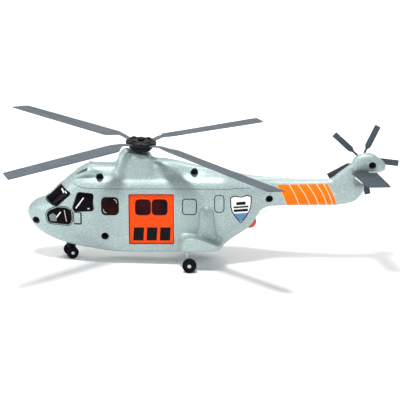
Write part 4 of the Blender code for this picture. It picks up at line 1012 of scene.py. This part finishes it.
doorPanel = sideSheet("leftDoorPanel", doorway["x0"] - doorShape["lap"], doorway["x1"] + doorShape["lap"],
                      doorway["z0"] - 1, doorway["z1"] + 1, doorShape["face"], doorShape["thick"],
                      orangeGloss)
hullTree = BVHTree.FromObject(doorPanel, bpy.context.evaluated_depsgraph_get())
doorInk = []
paneWork = {}
for word, rect in doorWindows:
    outline = roundRect(*rect, 3.6)
    doorInk.append(skinRibbon("frame", densify(insetOutline(outline, 0.1), 1.2), 0.95, 0.1, 0.25, blackInk))
    pane = sideSheet("pane", rect[0] - 1, rect[1] + 1, rect[2] - 1, rect[3] + 1, doorShape["face"] + 0.2,
                     0.9, maroonGlass)
    paneWork[word] = combine(pane, prism("cut", insetOutline(outline, 0.2), farPort, -5, maroonGlass),
                             "INTERSECT")
marks = dict(x=[-5.6, 6.5, 18.6], width=9.3, low=23.9, high=36.5, lean=0.8)
for x in marks["x"]:
    outline = [(x, marks["low"]), (x + marks["width"], marks["low"]),
               (x + marks["width"] + marks["lean"], marks["high"]),
               (x + marks["lean"], marks["high"])]
    doorInk.append(skinField("mark", outline, printed["lift"], printed["deep"], blackInk))
edgePath = densify(roundRect(doorway["x0"] + 0.6, doorway["x1"] - 0.6, doorway["z0"] + 0.6,
                             doorway["z1"] - 0.6, 1.2), 2.0)
doorInk.append(skinRibbon("edgeLine", edgePath, 0.45, printed["lift"], printed["deep"], blackInk))
for _, rect in doorWindows:
    combine(doorPanel, prism("cut", roundRect(*rect, 3.6), farPort, 0, orangeGloss))
doorPrint = joinPieces("leftDoorPrint", doorInk)
rightPanel, rightPrint = mirrored(doorPanel, "rightDoorPanel"), mirrored(doorPrint, "rightDoorPrint")
for side, panel, ink in (("left", doorPanel, doorPrint), ("right", rightPanel, rightPrint)):
    fitPiece(panel, side + "_door_body", [side + "_door"])
    fitPiece(ink, side + "_door_body")
for word, pane in paneWork.items():
    other = mirrored(pane, "rightDoorPane" + word)
    pane.name = "leftDoorPane" + word
    fitPiece(pane, "left_door_body", ["left_door_window_" + word.lower()])
    fitPiece(other, "right_door_body", ["right_door_window_" + word.lower()])
print("doors done")


# main rotor, in the mast's own axes
rotor = dict(mastX=0.9, mastZ=98.0, tilt=4.0, base=11.2, radius=14.0, height=4.4, bossX=9.3, phase=46.2,
             thick=1.5)
rotorMatrix = (airframeMatrix @ Matrix.Translation((rotor["mastX"], 0, rotor["mastZ"]))
               @ Matrix.Rotation(math.radians(rotor["tilt"]), 4, "Y"))


def rotorHub():
    base, r, top = rotor["base"], rotor["radius"], rotor["base"] + rotor["height"]
    disc = lathe("rotorHubDisc", [(1.75, base), (r - 1.4, base), (r - 0.5, base + 0.3), (r, base + 0.9),
                                  (r, top - 1.6), (r - 0.35, top - 1.0), (r - 1.2, top - 0.6),
                                  (7.4, top - 0.6),
                                  (6.9, top - 0.1), (6.4, top), (4.6, top), (4.2, top - 0.3),
                                  (1.75, top - 0.3)],
                 satinBlack, 72, closed=True)
    for k in range(4):
        a = math.radians(rotor["phase"] + 90 * k)
        spot = (rotor["bossX"] * math.cos(a), rotor["bossX"] * math.sin(a))
        boss = lathe("boss", [(3.9, base + 1), (3.9, top - 0.3), (3.5, top + 0.05), (2.6, top + 0.1),
                              (2.3, top - 0.15),
                              (2.1, top - 0.9), (0.2, top - 0.9)], satinBlack, 32)
        combine(disc, moveTo(boss, *spot, 0), "UNION")
        web = block("web", (rotor["bossX"] - 9, -0.7, base + 2), (r - 0.6, 0.7, top - 0.25), satinBlack)
        combine(disc, moveTo(web, 0, 0, 0, Matrix.Rotation(a + math.radians(45), 3, "Z")), "UNION")
    scallop = [lathe("scallop", [(2.6, top - 1.4), (2.6, top + 3)], satinBlack, 24) for _ in range(4)]
    for k, item in enumerate(scallop):
        a = math.radians(rotor["phase"] + 45 + 90 * k)
        combine(disc, moveTo(item, (r + 1.4) * math.cos(a), (r + 1.4) * math.sin(a), 0))
    return disc


def hubTrim():
    base, top = rotor["base"], rotor["base"] + rotor["height"]
    nut = loft("rotorNut",
               [[(s * math.cos(math.pi * k / 3), s * math.sin(math.pi * k / 3), z) for k in range(6)]
                            for s,
                            z in ((3.0, top + 0.3), (3.4, top + 0.6), (3.4, top + 1.7), (3.0, top + 2.1))],
               satinBlack)
    dome = lathe("dome", [(2.6, top + 2.0), (2.3, top + 2.5), (1.5, top + 2.85), (0.01, top + 2.9)],
                 satinBlack, 32)
    combine(nut, dome, "UNION")
    ring = lathe("swashRing", [(1.75, base - 2.4), (6.4, base - 2.4), (6.8, base - 4.4), (9.0, base - 4.5),
                               (9.4, base - 4.2),
                               (9.4, base - 3.0), (10.6, base - 2.6), (11, base - 2.2), (11, base - 1.1),
                               (10.4, base - 0.7),
                               (7.4, base - 0.35), (1.75, base - 0.35)], satinBlack, 64, closed=True)
    for k in range(8):
        a = math.radians(22.5 + 45 * k)
        combine(ring, moveTo(lathe("hole", [(0.7, base - 4), (0.7, base + 1)], satinBlack, 16),
                             8.0 * math.cos(a), 8.0 * math.sin(a), 0))
    return nut, ring


def bladeRing(leadR, trailR, lead, trail, height, fall, thick, count=7):
    # leading edge on the -Y side; the section is a cambered plank
    top, under = [], []
    for k in range(count + 1):
        u = (1 - math.cos(math.pi * k / count)) / 2
        r = leadR + (trailR - leadR) * u
        swell = min(1.0, 2.2 * math.sqrt(u)) if u < 0.25 else 1 - 0.5 * (u - 0.25)
        z = height - fall * u
        top.append((r, -lead + u * (lead - trail), z + thick * max(swell, 0.3)))
        under.append((r, -lead + u * (lead - trail), z - thick * max(swell * 0.7, 0.3)))
    return top + under[::-1]


bladeLines = dict(
    lead=smoothCurve([(5.7, 1.6), (6.7, 3), (11.3, 3), (17, 2.6), (26, 2.8), (32, 4.4), (38, 5), (170, 5)]),
    trail=smoothCurve([(5.7, -1.6), (6.7, -3), (11.3, -3), (17, -2.6), (26, -3.2), (32, -6.4), (38, -10.5),
                       (170, -10.5)]),
    rise=smoothCurve([(5.7, 0), (11.3, 0), (17, 0.66), (26, 2.2), (32, 2.2), (38, 1.98), (170, -3.32)]),
    fall=smoothCurve([(5.7, 0), (17, 0), (26, 0.2), (32, 1.2), (38, 1.6), (170, 0.7)]),
)


def mainBlade(name):
    seat = rotor["base"] + 1.6
    rings = []
    for r in [5.7, 6.7, 9, 11.3, 14, 17, 20, 23, 26, 29, 32, 35, 38, 42, 50, 65, 80, 95, 110, 125, 140, 150,
              158, 160]:
        t = min(1.0, max(0.0, (r - 38) / (160 - 38)))
        trailR = r + 7.2 * t
        thick = rotor["thick"] / 2 * (1.0 if r < 158 else 0.85)
        rings.append(bladeRing(r, trailR, bladeLines["lead"](r), bladeLines["trail"](r),
                               seat + bladeLines["rise"](r),
                               bladeLines["fall"](r), thick))
    blade = loft(name, rings, bladeGrey, sharp=40)
    hole = lathe("hole", [(1.25, 5), (1.25, 22)], bladeGrey, 20)
    combine(blade, moveTo(hole, rotor["bossX"], 0, 0))
    return blade


def rotorPin(name):
    base, top = rotor["base"], rotor["base"] + rotor["height"]
    return lathe(name,
                 [(1.1, base + 0.2), (1.1, top + 0.3), (1.7, top + 0.3), (1.9, top + 0.5), (1.9, top + 0.8),
                        (1.6, top + 1.1), (0.9, top + 1.2), (0.7, top + 1.0), (0.01, top + 1.0)],
                        satinBlack, 28)


fitPiece(rotorHub(), "main_rotor", ["rotor_hub"], rotorMatrix)
rotorNut, swashRing = hubTrim()
fitPiece(rotorNut, "main_rotor", ["hub_nut"], rotorMatrix)
fitPiece(swashRing, "main_rotor", ["swash_ring"], rotorMatrix)
for number in range(4):
    spin = Matrix.Rotation(math.radians(rotor["phase"] + 90 * number), 4, "Z")
    fitPiece(mainBlade(f"rotorBlade{number + 1}"), "main_rotor", [f"blade_{number + 1}"],
             rotorMatrix @ spin)
    pin = moveTo(rotorPin(f"rotorPin{number + 1}"), rotor["bossX"], 0, 0)
    fitPiece(pin, "main_rotor", [f"blade_pin_{number + 1}"], rotorMatrix @ spin)
print("main rotor done")


# tail rotor and stabiliser
tail = dict(x=tailBore["x"], z=tailBore["z"], y=9.0, phase=65.0, count=5)


def tailRotor():
    y = tail["y"]
    hub = lathe("tailRotorHub", [(1.1, y - 2.2), (3.6, y - 2.2), (4.1, y - 1.9), (4.4, y - 1),
                                 (4.4, y + 0.9), (4.1, y + 1.3),
                                 (3.3, y + 1.5), (3.1, y + 1.8), (1.1, y + 1.8)], tailGrey, 40, "Y",
                                 closed=True)
    for k in range(tail["count"]):
        rings = []
        for r, half, thick, pitch in ((2.6, 1.1, 1.3, 0.12), (6, 1.05, 1.2, 0.12), (10.2, 1.05, 1.1, 0.12),
                                      (11.4, 1.5, 1.05, 0.12),
                                      (12.8, 2.5, 0.95, 0.12), (14, 2.8, 0.9, 0.12), (22, 2.8, 0.85, 0.11),
                                      (30, 2.8, 0.8, 0.1),
                                      (33.6, 2.8, 0.75, 0.1), (34.4, 2.5, 0.6, 0.1)):
            section = []
            for n in range(12):
                a = 2 * math.pi * n / 12
                c, s = math.cos(a), math.sin(a)
                across = half * math.copysign(abs(c) ** 0.6, c)
                section.append((r, y + thick / 2 * math.copysign(abs(s) ** 0.6, s) + across * pitch,
                                across))
            rings.append(section)
        blade = loft("tailBlade", rings, tailGrey)
        turn = Matrix.Rotation(-math.radians(tail["phase"] + 360 * k / tail["count"]), 3, "Y")
        combine(hub, moveTo(blade, 0, 0, 0, turn), "UNION")
    return moveTo(hub, tail["x"], 0, tail["z"])


def tailAxle():
    y = tail["y"]
    axle = lathe("tailRotorAxle",
                 [(0.8, 0.25), (1.0, 0.5), (1.0, y + 2.1), (1.7, y + 2.1), (1.9, y + 2.3), (1.9, y + 2.6),
                                   (1.6, y + 2.95), (0.9, y + 3.1), (0.6, y + 2.9), (0.01, y + 2.9)], steel,
                                   28, "Y")
    return moveTo(axle, tail["x"], 0, tail["z"])


def tailPlane():
    root, tip, z = -5.9, -49.3, 83.6
    rings = []
    for k in range(13):
        t = k / 12
        y = root + (tip - root) * t
        lead, trail = 193 + 11.4 * t, 216.6 + 9.6 * t
        half = 1.0 - 0.3 * t
        if k == 12:
            lead, trail, half = lead + 0.8, trail - 0.8, half * 0.7
        section = []
        for n in range(9):
            u = (1 - math.cos(math.pi * n / 8)) / 2
            section.append((lead + (trail - lead) * u, y,
                            z + half * (min(1.0, 2.4 * math.sqrt(u)) * (1 - 0.55 * u))))
        under = [(x, y, 2 * z - h) for x, _, h in section[1:-1]][::-1]
        rings.append(section + under)
    plane = loft("tailPlane", rings, tailGrey)
    tongue = block("tongue", (196.6, root - 1.4, z - 0.7), (208.9, -1.5, z + 0.7), tailGrey)
    combine(plane, tongue, "UNION")
    for y in (-14.0, -23.5, -33.0, -42.0):
        trail = 216.6 + 9.6 * (root - y) / (root - tip)
        slot = prism("slot", roundRect(trail - 3.4, trail + 2, z - 5, z + 5, 0.1, 1), y - 0.55, y + 0.55,
                     tailGrey)
        combine(plane, slot)
    line = [(198.5 + 0.254 * (root - y), y) for y in (root - 0.2, tip + 1.5)]
    groove = loft("groove", [[(x + 4.6, y, z + 0.72), (x + 5.0, y, z + 0.72), (x + 5.0, y, z + 3),
                              (x + 4.6, y, z + 3)]
                             for x, y in line], tailGrey)
    combine(plane, groove)
    return plane


fitPiece(tailRotor(), "tail_rotor_body", ["tail_rotor"])
fitPiece(tailAxle(), "tail_rotor_body", ["tail_rotor_axle"])
fitPiece(tailPlane(), "airframe", ["stabiliser"])
print("tail done")


def winchWheel():
    w, r = winch["width"] / 2, winch["radius"]
    bore, hub, end = winch["axle"] + 0.06, winch["hub"], winch["width"] / 2 + winch["hubReach"]
    wheel = lathe("winchWheel", [(bore, -end), (hub, -end), (hub, -w), (r - 1.3, -w), (r - 1.1, -w - 0.15),
                                 (r - 0.35, -w + 0.1), (r, -w + 0.5), (r, w - 0.5), (r - 0.35, w - 0.1),
                                 (r - 1.1, w + 0.15),
                                 (r - 1.3, w), (hub, w), (hub, end), (bore, end)], redGloss, 64, "Y",
                                 closed=True)
    for k in range(24):
        a = 2 * math.pi * k / 24
        notch = rodY((r + 0.18) * math.cos(a), (r + 0.18) * math.sin(a), 0.42, -w - 1, w + 1, redGloss, 10)
        combine(wheel, notch)
    return moveTo(wheel, winch["x"], 0, winch["z"])


fitPiece(winchWheel(), "winch", ["winch_wheel"])


# undercarriage
gear = dict(mainX=45.8, mainRadius=6.45, mainWidth=5.4, noseX=-64.0, noseYaw=18.0, noseRadius=5.6,
            noseWidth=4.0,
            noseSpacing=11.4, bore=0.95)


def axlePoint(name):
    return airframeMatrix.inverted() @ Vector(joints[name]["pos_m"])


def tyreProfile(radius, width, inner):
    # round shoulders and three grooves round the tread
    w = width / 2
    side = [(inner, -w * 0.72), (inner + 0.25, -w * 0.84), (radius * 0.72, -w * 0.98), (radius * 0.8, -w),
            (radius * 0.86, -w * 0.98), (radius * 0.94, -w * 0.82), (radius - 0.08, -w * 0.62)]
    tread = []
    for at in (-0.42, 0.0, 0.42):
        tread += [(radius, w * (at - 0.13)), (radius - 0.38, w * (at - 0.07)),
                  (radius - 0.38, w * (at + 0.07)),
                  (radius, w * (at + 0.13))]
    return side + tread + [(r, -y) for r, y in side[::-1]]


def mainWheel(side, word):
    centre = axlePoint(word + "_wheel_spin")
    rimRadius = gear["mainRadius"] * 0.56
    w = gear["mainWidth"] / 2
    tyre = lathe(word + "MainTyre", tyreProfile(gear["mainRadius"], gear["mainWidth"], rimRadius + 0.1),
                 rubber, 64, "Y",
                 closed=True)
    rim = lathe(word + "MainRim",
                [(0.98, -w * 0.7), (1.9, -w * 0.7), (2.1, -w * 0.52), (rimRadius - 0.7, -w * 0.45),
                                   (rimRadius - 0.3, -w * 0.68), (rimRadius, -w * 0.7),
                                   (rimRadius, w * 0.7),
                                   (rimRadius - 0.3, w * 0.68), (rimRadius - 0.7, w * 0.45),
                                   (2.1, w * 0.52), (1.9, w * 0.7),
                                   (0.98, w * 0.7)], satinBlack, 48, "Y", closed=True)
    for k in range(6):
        a = math.pi * k / 3
        hole = rodY(2.55 * math.cos(a), 2.55 * math.sin(a), 0.32, -w, w, satinBlack, 12)
        combine(rim, hole)
    for item, node, slotName in ((tyre, "_main_tyre", "tyre"), (rim, "_main_rim", rimSlot)):
        fitPiece(moveTo(item, *centre), word + "_main_wheel", [word + node])
    outer = centre.y + side * (w * 0.7 + 0.3)
    axle = lathe(word + "MainAxle",
                 [(0.9, -side * 5.4), (0.9, 0), (1.5, 0), (1.75, side * 0.2), (1.5, side * 0.55),
                                     (0.9, side * 0.7), (0.01, side * 0.7)][::side], paleGrey, 32, "Y")
    fitPiece(moveTo(axle, centre.x, outer, centre.z), "airframe", [word + "_main_axle"])


rimSlot = next(row["material_slot"] for row in frame["record"]["subparts"]
               if row["node"] == "left_main_rim")


def roundedSquare(cx, cy, z, half, corner=0.35):
    return [(x + cx, y + cy, z) for x, y in roundRect(-half, half, -half, half, corner, 3)]


def mainLeg(word):
    centre = axlePoint(word + "_wheel_spin")
    low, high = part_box(word + "_main_leg")
    middle = airframeMatrix.inverted() @ ((low + high) / 2)
    y, z = middle.y, centre.z
    x0, x1 = gear["mainX"], gear["mainX"] - 1.7
    levels = [(x0, z - 1.95, 0.8), (x0, z - 1.6, 1.08), (x0, z + 2.0, 1.1), (x0 - 0.2, z + 3.2, 1.08),
              (x1 + 0.2, z + 5.4, 1.08),
              (x1, z + 6.4, 1.1), (x1, 26.8, 1.1)]
    strut = loft(word + "MainStrut", [roundedSquare(x, y, h, half) for x, h, half in levels], paleGrey)
    collar = loft("collar", [roundedSquare(x1, y, h, 1.36) for h in (z + 8.0, z + 9.0)], paleGrey)
    combine(strut, collar, "UNION")
    combine(strut, rodY(x0, z, 0.98, -60, 60, paleGrey, 24))
    fitPiece(strut, "airframe", [word + "_main_leg"])


for side, word in ((-1, "left"), (1, "right")):
    mainWheel(side, word)
    mainLeg(word)


def noseGear():
    # drawn about the swivel axis, then turned to its yaw
    axle = axlePoint("nose_wheels_spin")
    z = axle.z
    belly = lines["belly"](gear["noseX"])
    half = gear["noseSpacing"] / 2 - gear["noseWidth"] / 2 - 0.35
    yaw = Matrix.Rotation(math.radians(gear["noseYaw"]), 4, "Z")
    place = airframeMatrix @ Matrix.Translation((gear["noseX"], 0, 0)) @ yaw
    leg = lathe("noseStrut", [(2.2, z - 1.5), (2.9, z - 0.6), (3.0, z + 3.4), (2.4, z + 4.2),
                              (2.4, belly - 5.6), (3.4, belly - 5.0),
                              (4.3, belly - 3.4), (4.4, belly - 2.0), (4.1, belly - 1.6),
                              (2.0, belly - 1.6),
                              (2.0, belly + 5.4)], satinBlack, 36)
    bar = lathe("bar", [(2.0, -half), (2.3, -half + 0.4), (2.3, half - 0.4), (2.0, half)], satinBlack, 28,
                "Y")
    combine(leg, moveTo(bar, 0, 0, z), "UNION")
    link = loft("link", [[(x, -y, h), (x + 0.9, -y, h), (x + 0.9, y, h), (x, y, h)]
                         for x, y, h in ((1.9, 1.3, z + 2.2), (3.5, 1.0, z + 5.0), (2.2, 1.3, z + 7.6))],
                         satinBlack)
    combine(leg, link, "UNION")
    combine(leg, moveTo(lathe("bore", [(0.98, -20), (0.98, 20)], satinBlack, 24, "Y"), 0, 0, z))
    fitPiece(leg, "nose_gear", ["nose_leg"], place)
    spin = place @ Matrix.Translation((0, 0, z))
    end = gear["noseSpacing"] / 2 + gear["noseWidth"] * 0.4 + 0.3
    pin = lathe("noseWheelAxle", [(0.01, -end - 0.5), (1.2, -end - 0.5), (1.6, -end - 0.2), (1.7, -end),
                                  (0.9, -end), (0.9, end),
                                  (1.7, end), (1.6, end + 0.2), (1.2, end + 0.5), (0.01, end + 0.5)], steel,
                                  28, "Y")
    fitPiece(pin, "nose_wheels", ["nose_axle"], spin)
    w = gear["noseWidth"] / 2
    for side, word in ((-1, "left"), (1, "right")):
        profile = tyreProfile(gear["noseRadius"], gear["noseWidth"], 3.3)
        wheel = lathe(word + "NoseTyre", [(gear["bore"], -w * 0.8), (1.8, -w * 0.8), (2.0, -w * 0.6),
                                          (3.0, -w * 0.58)] + profile
                      + [(3.0, w * 0.58), (2.0, w * 0.6), (1.8, w * 0.8), (gear["bore"], w * 0.8)], rubber,
                      56, "Y", closed=True)
        fitPiece(moveTo(wheel, 0, side * gear["noseSpacing"] / 2, 0), "nose_wheels",
                 [word + "_nose_wheel"], spin)


noseGear()
print("undercarriage done")


# case screws
def crossScrew(number, x, z, floor):
    head = -floor - 0.3 - 1.4
    screw = lathe(f"caseScrew{number}",
                  [(0.6, 2.4 if x > 200 else 7.8), (1.2, 1.6 if x > 200 else 7.0), (1.2, -floor - 0.3),
                                         (2.4, -floor - 0.3), (2.5, -floor - 0.5), (2.4, head + 0.7),
                                         (1.9, head + 0.2),
                                         (1.1, head), (0.01, head)], satinBlack, 32, "Y")
    for turn in (20, 110):
        arm = block("arm", (-1.5, head - 1, -0.28), (1.5, head + 0.75, 0.28), satinBlack)
        combine(screw, moveTo(arm, 0, 0, 0, Matrix.Rotation(math.radians(turn), 3, "Y")))
    fitPiece(moveTo(screw, x, 0, z), "airframe", [f"shell_screw_{number}"])


for number, (x, z, floor) in enumerate(screwWells, 1):
    crossScrew(number, x, z, floor)
print("screws done")


# studio
def studio():
    ground = makeObject("studioFloor", [(-3, -3, 0), (3, -3, 0), (3, 3, 0), (-3, 3, 0)], [[0, 1, 2, 3]])
    ground.location.z = -0.0002
    pale, shader = newFinish("studioPale", (0.95, 0.95, 0.95), 0.7)
    ground.data.materials.append(pale)
    world = bpy.data.worlds.new("studioAir")
    world.use_nodes = True
    sky = world.node_tree.nodes["Background"]
    sky.inputs["Color"].default_value = (1, 1, 1, 1)
    sky.inputs["Strength"].default_value = lightValues["air"]
    bpy.context.scene.world = world
    for name, place, size, energy in lightValues["panels"]:
        data = bpy.data.lights.new(name, "AREA")
        data.shape = "RECTANGLE"
        data.size, data.size_y = size
        data.energy = energy
        lamp = bpy.data.objects.new(name, data)
        lamp.location = place
        aim = Vector((0, 0, 0.05)) - Vector(place)
        lamp.rotation_euler = aim.to_track_quat("-Z", "Y").to_euler()
        bpy.context.scene.collection.objects.link(lamp)


def cameraAt():
    view = dict(lens=180.0, sensor=36.0, distance=1.835, elevation=17.47, roll=1.5, aimX=0.0537,
                aimZ=0.0579)
    shift = airframeOrigin.x
    aim = Vector((view["aimX"] + shift, 0, view["aimZ"]))
    e, r = math.radians(view["elevation"]), math.radians(view["roll"])
    back = Vector((0, -math.cos(e), math.sin(e)))
    up0, right0 = Vector((0, math.sin(e), math.cos(e))), Vector((1, 0, 0))
    right = right0 * math.cos(r) + up0 * math.sin(r)
    top = up0 * math.cos(r) - right0 * math.sin(r)
    data = bpy.data.cameras.new("camera")
    data.lens, data.sensor_width = view["lens"], view["sensor"]
    data.clip_start, data.clip_end = 0.05, 20
    eye = bpy.data.objects.new("camera", data)
    eye.matrix_world = Matrix((
        (right.x, top.x, back.x, 0), (right.y, top.y, back.y, 0), (right.z, top.z, back.z, 0),
        (0, 0, 0, 1)))
    eye.location = aim + back * view["distance"]
    bpy.context.scene.collection.objects.link(eye)
    bpy.context.scene.camera = eye


lightValues = dict(air=0.52, panels=[
    ("keyPanel", (-0.2, -0.46, 1.5), (0.26, 0.2), 22.0),
    ("sidePanel", (-1.3, -0.9, 0.7), (0.6, 0.6), 7.0),
    ("backPanel", (0.2, 1.0, 1.0), (1.2, 0.4), 8.0),
])
studio()
cameraAt()
bpy.context.scene.view_settings.view_transform = "Standard"
